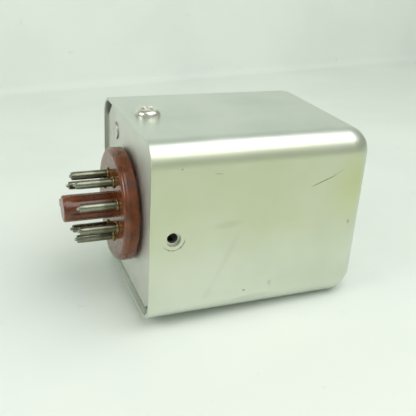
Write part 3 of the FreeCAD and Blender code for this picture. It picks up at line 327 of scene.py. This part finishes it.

# %% [markdown]
# ## Drawn aluminium of the cover
#
# The cover is pressed from soft aluminium sheet, etched and clear lacquered. The etching gives a
# satin skin: reflections are broad and soft, so the long bends show one wide bright stripe. The
# side that faces the camera has painted shade and a painted reflection tint: it is made darker and
# yellower in cloudy patches, weaker towards the bottom, and in one more patch near the closed end.
# On the cover are smudges from fingers, a few scratches and specks, and the broken ring that the
# missing screw's head has pressed round its hole. Each mark is a soft ellipsoid, given by its
# centre and its half sizes.

# %% Cover finish
HALF_WIDTH = 25.4
SIDE = -HALF_WIDTH
SCREW_LINE = 10.2
HEAD_RING = 3.1
material, tree, shader, place, bump = worked(
    "aluminium_drawn_etched", "#DFE3DB", "#D5DBD2", 1.0, 0.41, patch=22, grain=0.35, depth=0.0025,
    spread=0.045)
FINISHES["satin_aluminium"] = material

haze = add(tree, "ShaderNodeTexNoise", {"Vector": place, "Scale": 1 / (26 * MM), "Detail": 3.0})
cloud = add(tree, "ShaderNodeMapRange", {"Value": haze.outputs["Fac"], "From Min": 0.3,
                                         "From Max": 0.75, "To Min": 0.55}).outputs["Result"]
on_side = add(tree, "ShaderNodeSeparateXYZ", {"Vector": place})
near = add(tree, "ShaderNodeMapRange", {"Value": on_side.outputs["Y"], "From Min": -22.5 * MM,
                                        "From Max": -25.3 * MM}).outputs["Result"]
fading = add(tree, "ShaderNodeMapRange", {"Value": on_side.outputs["Z"], "From Min": -20 * MM,
                                          "From Max": 2 * MM, "To Min": 0.35}).outputs["Result"]
# Painted shade and reflection tint: the side that faces the camera turns darker and yellower in
# cloudy patches, weaker towards the bottom.
painted_side_tint = times(tree, times(tree, times(tree, cloud, near), fading), 0.9)
mix_over(tree, shader, "Base Color", painted_side_tint, linear("#CCD1AE"))
# A further painted tint patch, yellower, on the same side near the closed end.
yellow = blot(tree, place, (64, SIDE, 10), (12, 4, 14), hard=1.2)
mix_over(tree, shader, "Base Color", times(tree, yellow, 0.42), linear("#C9D08E"))

MARKS = [
    # centre x, z, half length, half width, turn, strength, hardness
    (52.4, 12.45, 4.5, 0.20, 21, 0.65, 3.0),
    (56.6, 14.5, 2.8, 0.13, 27, 0.30, 2.0),
    (21.6, 17.1, 1.5, 0.16, -8, 0.35, 2.0),
    (11.8, 19.0, 0.35, 0.35, 0, 0.45, 2.0),
    (31.3, -18.3, 0.5, 0.4, 0, 0.60, 2.0),
    (39.0, -17.0, 0.9, 1.3, 10, 0.18, 1.5),
    (62.2, -0.8, 0.7, 0.9, 0, 0.35, 1.5),
    (25.0, -7.8, 12.7, 1.3, 65, 0.06, 1.1),
    (20.4, -17.6, 3.0, 1.6, 62, 0.06, 1.2),
    (25.0, 2.6, 6.0, 1.6, 4, 0.10, 1.2),
    (33.0, -21.0, 9.0, 1.2, 3, 0.13, 1.4),
]
for x, z, length, width, turn, strength, hard in MARKS:
    mark = times(tree, blot(tree, place, (x, SIDE, z), (length, 2, width), turn, hard), strength)
    mix_over(tree, shader, "Base Color", mark, linear("#6C6A50"))

flat = add(tree, "ShaderNodeCombineXYZ", {"X": on_side.outputs["X"], "Z": on_side.outputs["Z"]})
from_hole = add(tree, "ShaderNodeVectorMath", {0: flat.outputs["Vector"],
                                               1: (SCREW_LINE * MM, 0, 0)}, operation="DISTANCE")
off_ring = add(tree, "ShaderNodeMath", {0: from_hole.outputs["Value"], 1: HEAD_RING * MM},
               operation="SUBTRACT")
ring = add(tree, "ShaderNodeMath", {0: off_ring.outputs[0]}, operation="ABSOLUTE")
line = add(tree, "ShaderNodeMapRange", {"Value": ring.outputs[0], "From Min": 0.28 * MM,
                                        "From Max": 0.06 * MM}).outputs["Result"]
lower = blot(tree, place, (SCREW_LINE + 1.2, SIDE, -2.6), (4.6, 3, 3.2), hard=2.5)
crumbs = add(tree, "ShaderNodeTexNoise", {"Vector": place, "Scale": 1 / (0.7 * MM), "Detail": 2.0})
broken = add(tree, "ShaderNodeMapRange", {"Value": crumbs.outputs["Fac"], "From Min": 0.4,
                                          "From Max": 0.6, "To Min": 0.35}).outputs["Result"]
witness = times(tree, times(tree, times(tree, line, lower), near), broken)
mix_over(tree, shader, "Base Color", times(tree, witness, 0.75), linear("#5A4E34"))
mix_over(tree, shader, "Roughness", times(tree, witness, 0.8), 0.6)

dent = add(tree, "ShaderNodeTexNoise", {"Vector": place, "Scale": 1 / (17 * MM), "Detail": 1.0})
wavy = add(tree, "ShaderNodeBump", {"Height": dent.outputs["Fac"], "Distance": 0.12 * MM,
                                    "Strength": 1.0, "Normal": bump.outputs["Normal"]})
tree.links.new(wavy.outputs["Normal"], shader.inputs["Normal"])
print("cover finish:", len(tree.nodes), "nodes")

# %% [markdown]
# ## The other outer metals
#
# The base pan is the same sheet, etched a little deeper and duller. The cover screws have dull
# nickel plate, so their highlights are soft. The plug pins are brass tubes with thin nickel: a
# socket has rubbed the outer two thirds bright, and next to the plug they keep an olive tarnish.
# The nickel has worn thin on their collars. Solder sets with a dull, slightly lumpy skin.

# %% Outer metals
FINISHES["pan_aluminium"] = worked(
    "aluminium_sheet_etched", "#E4E4DE", "#D9DAD3", 1.0, 0.5, patch=14, grain=0.3, depth=0.004)[0]
FINISHES["rivet_aluminium"] = worked(
    "aluminium_rivet_headed", "#D8DAD4", "#B9BCB4", 1.0, 0.34, patch=1.5, grain=0.2, depth=0.01)[0]
FINISHES["nickel_screws"] = worked(
    "steel_nickel_plated", "#EDEBE2", "#D6D3C6", 1.0, 0.27, patch=2.0, grain=0.25,
    depth=0.0012, spread=0.04)[0]
FINISHES["solder"] = worked(
    "solder_tin_lead_set", "#B9BAB2", "#8E8F86", 1.0, 0.33, patch=0.8, grain=0.25, depth=0.02)[0]

material, tree, shader, place, bump = worked(
    "brass_nickel_plated_tarnished", "#8F9080", "#6C6D5B", 1.0, 0.3, patch=1.6, grain=0.2,
    depth=0.008, spread=0.1, stretch=(0.25, 1, 1))
FINISHES["pin_nickel"] = material
along = add(tree, "ShaderNodeSeparateXYZ", {"Vector": place}).outputs["X"]
grime = add(tree, "ShaderNodeMapRange", {"Value": along, "From Min": -4.9 * MM,
                                         "From Max": -3.3 * MM, "To Max": 0.8},
            interpolation_type="SMOOTHSTEP")
mix_over(tree, shader, "Base Color", grime.outputs["Result"], linear("#5E5C48"))
collar = add(tree, "ShaderNodeMapRange", {"Value": along, "From Min": -0.62 * MM,
                                          "From Max": -0.45 * MM}).outputs["Result"]
mix_over(tree, shader, "Base Color", times(tree, collar, 0.8), linear("#998A5E"))

# %% [markdown]
# ## Moulded phenolic of the plug
#
# The plug is hot-pressed from phenolic resin filled with wood flour. It comes out of its polished
# mould glossy and red-brown, with darker flow marks from the filler, and it is a little
# translucent, so thin parts look more orange. Its index of refraction is near 1.6. Handling has
# dulled the gloss in patches, and fine flecks of dust lie all over it.

# %% Plug finish
material, tree, shader, place, bump = worked(
    "phenolic_moulded_brown", "#7C3A0C", "#5A2808", 0.0, 0.24, patch=3.2, grain=0.16, depth=0.004,
    spread=0.08, IOR=1.6, Coat_Weight=0.1, Coat_Roughness=0.12, Subsurface_Weight=0.05,
    Subsurface_Scale=0.6 * MM)
FINISHES["phenolic"] = material
flow = add(tree, "ShaderNodeTexNoise", {"Vector": place, "Scale": 1 / (2.4 * MM), "Detail": 5.0,
                                        "Distortion": 1.8})
streak = add(tree, "ShaderNodeMapRange", {"Value": flow.outputs["Fac"], "From Min": 0.56,
                                          "From Max": 0.72, "To Max": 0.6}).outputs["Result"]
mix_over(tree, shader, "Base Color", streak, linear("#43200F"))
fleck = add(tree, "ShaderNodeTexVoronoi", {"Vector": place, "Scale": 1 / (0.7 * MM)})
dust = add(tree, "ShaderNodeMapRange", {"Value": fleck.outputs["Distance"], "From Min": 0.16,
                                        "From Max": 0.05, "To Max": 0.14}).outputs["Result"]
mix_over(tree, shader, "Base Color", dust, linear("#B98556"))

# %% [markdown]
# ## Finishes inside the can
#
# The works are hidden while the cover is on, but they are finished as they would be seen with the
# cover off: zinc plate, soft iron, rolled brass, bronze spring strip, silver contacts, enamelled
# copper wire, laminated phenolic board, a nylon bobbin, varnished paper tape and plastic-covered
# leads.

# %% Inner finishes
INNER = {
    "spring_steel": ("steel_spring_tempered", "#8E8F92", "#6E7075", 1.0, 0.28, 3, 0.2, 0.004, {}),
    "zinc_steel": ("steel_zinc_plated", "#C3C2B4", "#A3A392", 1.0, 0.36, 6, 0.3, 0.006, {}),
    "zinc_steel_screws": ("steel_screws_zinc_plated", "#CFCEC2", "#A9A899", 1.0, 0.30, 1.5, 0.2,
                          0.006, {}),
    "soft_iron": ("iron_soft_annealed", "#A2A19C", "#83827C", 1.0, 0.42, 4, 0.25, 0.01, {}),
    "tinned_brass": ("brass_hot_tinned", "#C7C4B2", "#A8A491", 1.0, 0.3, 1.5, 0.3, 0.01, {}),
    "brass": ("brass_rolled_strip", "#C9A765", "#A98547", 1.0, 0.3, 4, 0.25, 0.005, {}),
    "spring_bronze": ("bronze_rolled_spring_strip", "#C08D62", "#A07049", 1.0, 0.26, 5, 0.25,
                      0.004, {}),
    "silver_contact": ("silver_contact_pressed", "#E4E2DA", "#BDBAB0", 1.0, 0.22, 0.9, 0.2, 0.01,
                       {}),
    "enamelled_copper": ("copper_wire_enamelled", "#A8542B", "#8A3F1E", 0.75, 0.22, 2, 0.3, 0.004,
                         {"Coat_Weight": 0.6, "Coat_Roughness": 0.1}),
    "copper_braid": ("copper_wire_bare_stranded", "#C98A66", "#A0623F", 1.0, 0.34, 0.8, 0.15,
                     0.01, {}),
    "bobbin_nylon": ("nylon_moulded_natural", "#DDD6BE", "#CBC2A4", 0.0, 0.42, 5, 0.3, 0.006,
                     {"IOR": 1.53, "Subsurface_Weight": 0.15, "Subsurface_Scale": 1.0 * MM}),
    "coil_tape": ("paper_tape_varnished", "#C6A25A", "#A98342", 0.0, 0.34, 3, 0.2, 0.01,
                  {"IOR": 1.5, "Coat_Weight": 0.4, "Coat_Roughness": 0.2}),
    "black_phenolic": ("phenolic_paper_laminated", "#2E2520", "#1D1613", 0.0, 0.4, 5, 0.25, 0.012,
                       {"IOR": 1.6}),
    "lead_black": ("pvc_extruded_black", "#1B1B1A", "#121211", 0.0, 0.38, 2, 0.3, 0.006,
                   {"IOR": 1.53}),
    "lead_white": ("pvc_extruded_white", "#E2E0D2", "#CFCBB6", 0.0, 0.38, 2, 0.3, 0.006,
                   {"IOR": 1.53}),
    "lead_yellow": ("pvc_extruded_yellow", "#C9A227", "#AE881C", 0.0, 0.38, 2, 0.3, 0.006,
                    {"IOR": 1.53}),
    "lead_green": ("pvc_extruded_green", "#2E6B45", "#235537", 0.0, 0.38, 2, 0.3, 0.006,
                   {"IOR": 1.53}),
}
for slot, (name, light, dark, metallic, roughness, patch, grain, depth, extra) in INNER.items():
    FINISHES[slot] = worked(name, light, dark, metallic, roughness, patch=patch, grain=grain,
                            depth=depth, **extra)[0]

# %% [markdown]
# Woven sleeving shows its threads. Two sets of fine waves that cross at right angles give the
# over-and-under of the cloth: the thread spacing is about 0.35 mm.

# %% Woven sleeve
THREAD = 0.35
material, tree, shader, place, bump = worked(
    "fibre_sleeve_woven_varnished", "#D6CBA6", "#BEB085", 0.0, 0.55, patch=1.5, grain=0.2,
    depth=0.01, IOR=1.5, Sheen_Weight=0.2)
FINISHES["fibre_sleeve"] = material
normal = bump.outputs["Normal"]
for direction in ("X", "Z"):
    wave = add(tree, "ShaderNodeTexWave", {"Vector": place, "Scale": 1 / (THREAD * MM) / 6.28,
                                           "Distortion": 0.4}, bands_direction=direction)
    weave = add(tree, "ShaderNodeBump", {"Height": wave.outputs["Fac"], "Distance": 0.05 * MM,
                                         "Strength": 1.0, "Normal": normal})
    normal = weave.outputs["Normal"]
tree.links.new(normal, shader.inputs["Normal"])
print("finishes:", len(FINISHES))

# %% [markdown]
# ## Finishes go on the CAD pieces
#
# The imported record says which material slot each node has. A node keeps its mesh and its place:
# only the material in its slot changes.

# %% Give every node its finish
SLOT_OF = {row["node"]: row["material_slot"] for row in frame["record"]["subparts"]}
BODY_OF = {node: body for body, nodes in frame["record"]["behaviour"]["bodies"].items()
           for node in nodes}


def dress(piece, slot):
    """Puts one finish on a piece, in every slot that it has."""
    if not piece.material_slots:
        piece.data.materials.append(FINISHES[slot])
    for holder in piece.material_slots:
        holder.material = FINISHES[slot]


for node, piece in frame["nodes"].items():
    dress(piece, SLOT_OF[node])


def stand_in(piece, node):
    """A finer piece takes a node's place: same body, same finish slot, and the node is hidden."""
    dress(piece, SLOT_OF[node])
    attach(piece, BODY_OF[node])
    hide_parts(node)
    low = np.array([v.co for v in piece.data.vertices]).min(0) / MM
    high = np.array([v.co for v in piece.data.vertices]).max(0) / MM
    print(f"{piece.name}: {len(piece.data.polygons)} faces, x {low[0]:.2f}..{high[0]:.2f}, "
          f"y {low[1]:.2f}..{high[1]:.2f}, z {low[2]:.2f}..{high[2]:.2f}")
    return piece


# %% [markdown]
# ## Turned pieces: pins
#
# A turned piece is a profile carried round an axis. The profile is a list of corners, and a corner
# with a radius becomes a short arc. Each plug pin is a brass tube that was rolled from strip: a
# rounded collar sits on the plug, the shell is straight, its end is drawn in to a shoulder, and a
# small hole is left there for the solder. A seam line runs along it.


# %% Plug pins
def arcs(corners, steps=7):
    """Profile of straight runs whose corners are rounded: (along, radius, corner radius) rows.

    At a corner with a radius, points follow the arc that touches both runs: a circle centre on
    the corner's bisector, and angles from the first touching point to the second.
    """
    rows = np.array(corners, float)
    points = [rows[0, :2]]
    for before, here, after in zip(rows, rows[1:], rows[2:]):
        radius = here[2]
        first = (before[:2] - here[:2]) / np.linalg.norm(before[:2] - here[:2])
        second = (after[:2] - here[:2]) / np.linalg.norm(after[:2] - here[:2])
        half = math.acos(np.clip(first @ second, -1, 1)) / 2
        if radius == 0 or half < 1e-3 or half > math.pi / 2 - 1e-3:
            points.append(here[:2])
            continue
        reach = radius / math.tan(half)
        bisector = (first + second) / np.linalg.norm(first + second)
        centre = here[:2] + bisector * radius / math.sin(half)
        start = here[:2] + first * reach - centre
        end = here[:2] + second * reach - centre
        turn = np.linspace(0, 1, steps)[:, None]
        sweep = math.pi - 2 * half
        arc = (np.sin((1 - turn) * sweep) * start + np.sin(turn * sweep) * end) / math.sin(sweep)
        points.extend(centre + arc)
    points.append(rows[-1, :2])
    return np.array(points)


def turned(profile, y, z, around=48, shape=None):
    """Profile (along, radius) carried round an axis parallel to X.

    y is the centre plus radius times cosine, z is the centre plus radius times sine. An optional
    shape function of (along, angle) multiplies the radius.
    """
    angle = np.linspace(0, 2 * math.pi, around, endpoint=False)
    along, radius = profile[:, :1], profile[:, 1:]
    swell = shape(along, angle[None, :]) if shape else 1.0
    grid = np.stack((np.broadcast_to(along, (len(profile), around)),
                     y + radius * np.cos(angle) * swell,
                     z + radius * np.sin(angle) * swell), -1)
    return grid * MM


PIN_COUNT = 8
PIN_PITCH = 360 / PIN_COUNT
PIN_CIRCLE = 8.73


def pin_centre(number):
    """Centre of a plug pin on its circle: pin 1 is beside the key, and they run round over +Z."""
    angle = math.radians(PIN_PITCH / 2 + PIN_PITCH * ((4 - number) % PIN_COUNT))
    return -PIN_CIRCLE * math.cos(angle), PIN_CIRCLE * math.sin(angle)


PIN_TIP = -10.4
PIN_TAIL = 10.1
PIN_OUTLINE = [
    (PIN_TAIL, 0.8, 0), (PIN_TAIL, 1.6, 0.1), (9.5, 1.6, 0.1), (9.5, 1.17, 0), (0.02, 1.17, 0),
    (0.0, 1.65, 0), (-0.45, 1.65, 0.2), (-0.45, 1.3, 0.08), (-0.75, 1.18, 0.1), (-9.2, 1.17, 1.5),
    (PIN_TIP, 1.08, 0.3), (PIN_TIP, 0.52, 0.05), (PIN_TIP + 0.2, 0.46, 0.05),
    (-9.6, 0.8, 0), (PIN_TAIL, 0.8, 0),
]


def seam(along, angle):
    """The rolled seam: a groove of a few hundredths of a millimetre along one line of the shell."""
    return 1 - 0.03 * np.exp(-((angle - math.pi) / 0.09) ** 2) * (along < -0.8)


for number in range(1, PIN_COUNT + 1):
    shell = turned(arcs(PIN_OUTLINE), *pin_centre(number), around=64, shape=seam)
    stand_in(mesh_object(f"pin_shell_{number}", [(shell, False, True)]), f"plug_pin_{number}")

# %% [markdown]
# ## Solder beads
#
# Each wire ends in its pin's tip under a bead of solder that was left to set pointing down, so no
# two beads are alike. A bead is a ball drawn out to a blunt nose, and a few sine waves of its two
# angles dent it. The waves' phases come from the pin's number, so every run gives the same beads.


# %% Solder
def bead(number):
    """A drop: radius falls from a wide foot inside the pin to a blunt nose, with soft dents."""
    y, z = pin_centre(number)
    down = np.linspace(0, math.pi / 2, 20)[:, None]
    angle = np.linspace(0, 2 * math.pi, 32, endpoint=False)[None, :]
    length = 0.72 + 0.12 * math.sin(number * 2.1)
    dents = 1 + 0.07 * np.sin(2 * angle + number) * np.sin(down * 2) + 0.05 * np.sin(
        3 * angle + 1.7 * number + 2 * down)
    radius = 0.48 * np.cos(down) ** 0.62 * dents
    nose = PIN_TIP + 0.07 - length * np.sin(down) ** 1.15
    lean = 0.10 * np.sin(down) ** 2
    grid = np.stack((np.broadcast_to(np.maximum(nose, PIN_TIP - 0.65), radius.shape),
                     y + radius * np.cos(angle) + lean * math.sin(number * 1.3),
                     z + radius * np.sin(angle) - lean), -1)
    foot = grid[:1] * np.array([0, 1, 1]) + np.array([PIN_TIP + 0.5, 0, 0])
    closed = foot * np.array([1, 0, 0]) + np.array([0, y, z])
    return np.concatenate((closed, foot, grid)) * MM


beads = [(bead(number), False, True) for number in range(1, PIN_COUNT + 1)]
stand_in(mesh_object("solder_beads", beads), "pin_solder_tips")

# %% [markdown]
# ## Cover screws
#
# A pan head is nearly flat, with a well rounded edge, and a cross recess punched in its top. The
# head is a height over a polar grid: a flattened dome, less the recess. The recess is a cross whose
# slots narrow towards their ends and slope up, with soft lips where the punch dragged the metal.
# The shank carries a rolled thread: its radius is a triangle wave of the place along it and of
# the angle round it, which makes one helix.


# %% Screws
HEAD_RADIUS = 3.55
HEAD_HEIGHT = 2.1
CORE_RADIUS = 1.45
SHANK_LENGTH = 6.0
THREAD_PITCH = 0.8
THREAD_DEPTH = 0.28


def soft_step(value, low, high):
    """0 below low, 1 above high, and a smooth S between."""
    part = np.clip((value - low) / (high - low), 0, 1)
    return part * part * (3 - 2 * part)


def screw(seat, outward, across):
    """Head and shank about an outward axis from a seat point; across turns the cross recess."""
    seat, outward = np.array(seat, float), np.array(outward, float)
    side = np.array(across, float)
    other = np.cross(outward, side)
    angle = np.linspace(0, 2 * math.pi, 144, endpoint=False)[None, :]
    crown, shoulder = np.linspace(0, 0.8, 40), 1 - 0.2 * np.linspace(1, 0, 22)[1:] ** 2
    part = np.concatenate((crown, shoulder))[:, None]
    radius = HEAD_RADIUS * part
    dome = HEAD_HEIGHT * (0.86 + 0.14 * (1 - part ** 2)) * np.maximum(1 - part ** 7, 0) ** 0.5
    a, b = radius * np.cos(angle), radius * np.sin(angle)
    long, short = np.maximum(abs(a), abs(b)), np.minimum(abs(a), abs(b))
    slot_half = 0.52 - 0.09 * long
    inside = 1 - soft_step(short, slot_half - 0.06, slot_half + 0.07)
    reach = 1 - soft_step(long, 1.55, 2.0)
    depth = inside * reach * (1.35 - 0.28 * long)
    lip = 0.035 * np.exp(-((short - slot_half - 0.12) / 0.08) ** 2) * reach
    up = np.minimum(dome - depth + lip, HEAD_HEIGHT)
    head = seat + a[..., None] * side + b[..., None] * other + up[..., None] * outward
    shank_angle = np.linspace(0, 2 * math.pi, 40, endpoint=False)[None, :]
    down = np.linspace(0, SHANK_LENGTH, 91)[:, None]
    turn = (down / THREAD_PITCH - shank_angle / (2 * math.pi)) % 1
    thread = CORE_RADIUS - THREAD_DEPTH * abs(2 * turn - 1) * soft_step(down, 0.2, 0.9)
    thread = thread * (1 - 0.25 * soft_step(down, 5.4, SHANK_LENGTH))
    c, s = thread * np.cos(shank_angle), thread * np.sin(shank_angle)
    shank = (seat + c[..., None] * side + s[..., None] * other
             - np.broadcast_to(down, c.shape)[..., None] * outward)
    tip = np.broadcast_to(seat - SHANK_LENGTH * outward, shank[:1].shape)
    underside = np.broadcast_to(seat, head[-1:].shape)
    root = np.broadcast_to(seat, shank[:1].shape)
    return [(np.concatenate((head, underside)) * MM, False, True),
            (np.concatenate((root, shank, tip)) * MM, False, True)]


screws = (screw((SCREW_LINE, 0, HALF_WIDTH), (0, 0, 1), (0.92, 0.39, 0))
          + screw((SCREW_LINE, 0, -HALF_WIDTH), (0, 0, -1), (0.6, 0.8, 0))
          + screw((SCREW_LINE, HALF_WIDTH, 0), (0, 1, 0), (0.97, 0, 0.24)))
stand_in(mesh_object("cross_head_screws", screws), "cover_screws")

# %% [markdown]
# ## Coil
#
# The winding is many turns of fine enamelled wire. Its outer layer shows as ridges, one for each
# turn, so the tube's radius is a row of half circles along its length, and the row moves on by
# one turn each time round. The real wire is finer than these ridges, which are 0.25 mm, the
# finest that still reads as wire. The wrap is one tape wound on at an angle: each turn laps the
# one before it, and so its radius climbs slowly along the tape's width and drops at its edge.


# %% Winding and wrap
COIL_Y = 2.0
BOBBIN_TUBE = 5.52
WINDING_RADIUS = 9.98
WRAP_INSIDE = 10.0
WRAP_RADIUS = 10.07
TAPE_LAP = 0.2
WIRE = 0.25
TAPE_WIDTH = 6.0
coil_low, coil_high = (np.array(corner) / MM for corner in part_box("coil_winding"))
coil_start, coil_end = coil_low[0] + 0.02, coil_high[0] - 0.02


def tube(start, end, inner, outer, rows, around):
    """Closed tube about the coil's axis whose outside radius is a function of (along, angle)."""
    angle = np.linspace(0, 2 * math.pi, around, endpoint=False)[None, :]
    along = np.linspace(start, end, rows)[:, None]
    radius = outer(along, angle)
    along = np.broadcast_to(along, radius.shape)
    skin = np.stack((along, COIL_Y + radius * np.cos(angle), radius * np.sin(angle)), -1)
    ends = []
    for x in (start, end):
        hole = np.broadcast_to(x, angle.shape)
        ends.append(np.stack((hole, COIL_Y + inner * np.cos(angle), inner * np.sin(angle)), -1))
    return [(np.concatenate((ends[0], skin, ends[1])) * MM, True, True)]


def wire_ridges(along, angle):
    """Half circles of the wire's radius, one after another, moving on one turn each time round."""
    turn = ((along - coil_start) / WIRE + angle / (2 * math.pi)) % 1
    return WINDING_RADIUS - WIRE / 2 + np.sqrt(np.maximum(1 - (2 * turn - 1) ** 2, 0)) * WIRE / 2


def lapped_tape(along, angle):
    """Radius climbs by one lap across the tape's width, and drops at its edge."""
    turn = ((along - coil_start) / TAPE_WIDTH + angle / (2 * math.pi)) % 1
    return WRAP_RADIUS + TAPE_LAP * turn * (1 - soft_step(turn, 0.985, 1.0))


wire = tube(coil_start, coil_end, BOBBIN_TUBE, wire_ridges, 560, 72)
stand_in(mesh_object("wound_wire", wire), "coil_winding")
tape = tube(coil_start, coil_end, WRAP_INSIDE, lapped_tape, 220, 96)
stand_in(mesh_object("lapped_tape", tape), "coil_wrap")

# %% [markdown]
# ## Flexible leads
#
# Two leads carry current to the moving blades, and flex a little at every stroke. Each is seven
# bundles of fine bare copper: one in the middle and six laid round it in a long helix. Its line is
# straight runs joined by quarter circles, and the whole lead is turned with the open armature
# about the hinge. Each bundle is a small circle carried along that line, at a distance from it
# that turns steadily with the length.


# %% Flexible leads
HINGE = np.array((49.6, 15.55))
OPEN_ANGLE = math.radians(3.5)
LEAD_CORNERS = np.array(((45.75, 15.55), (53.4, 15.55), (53.4, -0.1), (50.62, -0.1)))
LEAD_BEND = 1.6
BUNDLE = 0.2
LAY = 3.2
LEAD_PLACES = ((1, 14.5), (2, -14.5))


def lead_line():
    """Centre line in the X-Y plane and its directions, even in length, turned about the hinge."""
    corners = [(*corner, LEAD_BEND) for corner in LEAD_CORNERS]
    bends = arcs(corners, steps=12)
    gaps = np.linalg.norm(np.diff(bends, axis=0), axis=1)
    length = np.concatenate(([0], np.cumsum(gaps)))
    even = np.linspace(0, length[-1], 260)
    line = np.stack([np.interp(even, length, bends[:, axis]) for axis in (0, 1)], -1)
    turn = np.array(((math.cos(OPEN_ANGLE), -math.sin(OPEN_ANGLE)),
                     (math.sin(OPEN_ANGLE), math.cos(OPEN_ANGLE))))
    line = HINGE + (line - HINGE) @ turn.T
    direction = np.gradient(line, even, axis=0)
    return even, line, direction / np.linalg.norm(direction, axis=1)[:, None]


def bundle(z, ring, phase):
    """Tube of one bundle: centre line + ring * (helix direction) + bundle radius * (circle)."""
    even, line, direction = lead_line()
    sideways = np.stack((-direction[:, 1], direction[:, 0], np.zeros(len(even))), -1)
    upright = np.array((0.0, 0.0, 1.0))
    middle = np.column_stack((line, np.full(len(even), z)))
    helix = 2 * math.pi * even / LAY + phase
    middle = middle + ring * (np.cos(helix)[:, None] * sideways + np.sin(helix)[:, None] * upright)
    angle = np.linspace(0, 2 * math.pi, 10, endpoint=False)[None, :, None]
    skin = middle[:, None] + BUNDLE * (np.cos(angle) * sideways[:, None] + np.sin(angle) * upright)
    first = np.broadcast_to(middle[:1, None], skin[:1].shape)
    last = np.broadcast_to(middle[-1:, None], skin[:1].shape)
    return np.concatenate((first, skin, last)) * MM


for side, z in LEAD_PLACES:
    laid = [(bundle(z, 0.0, 0.0), False, True)]
    laid += [(bundle(z, 2 * BUNDLE, turn), False, True)
             for turn in np.arange(6) * math.pi / 3]
    stand_in(mesh_object(f"stranded_lead_{side}", laid), f"pigtail_{side}")
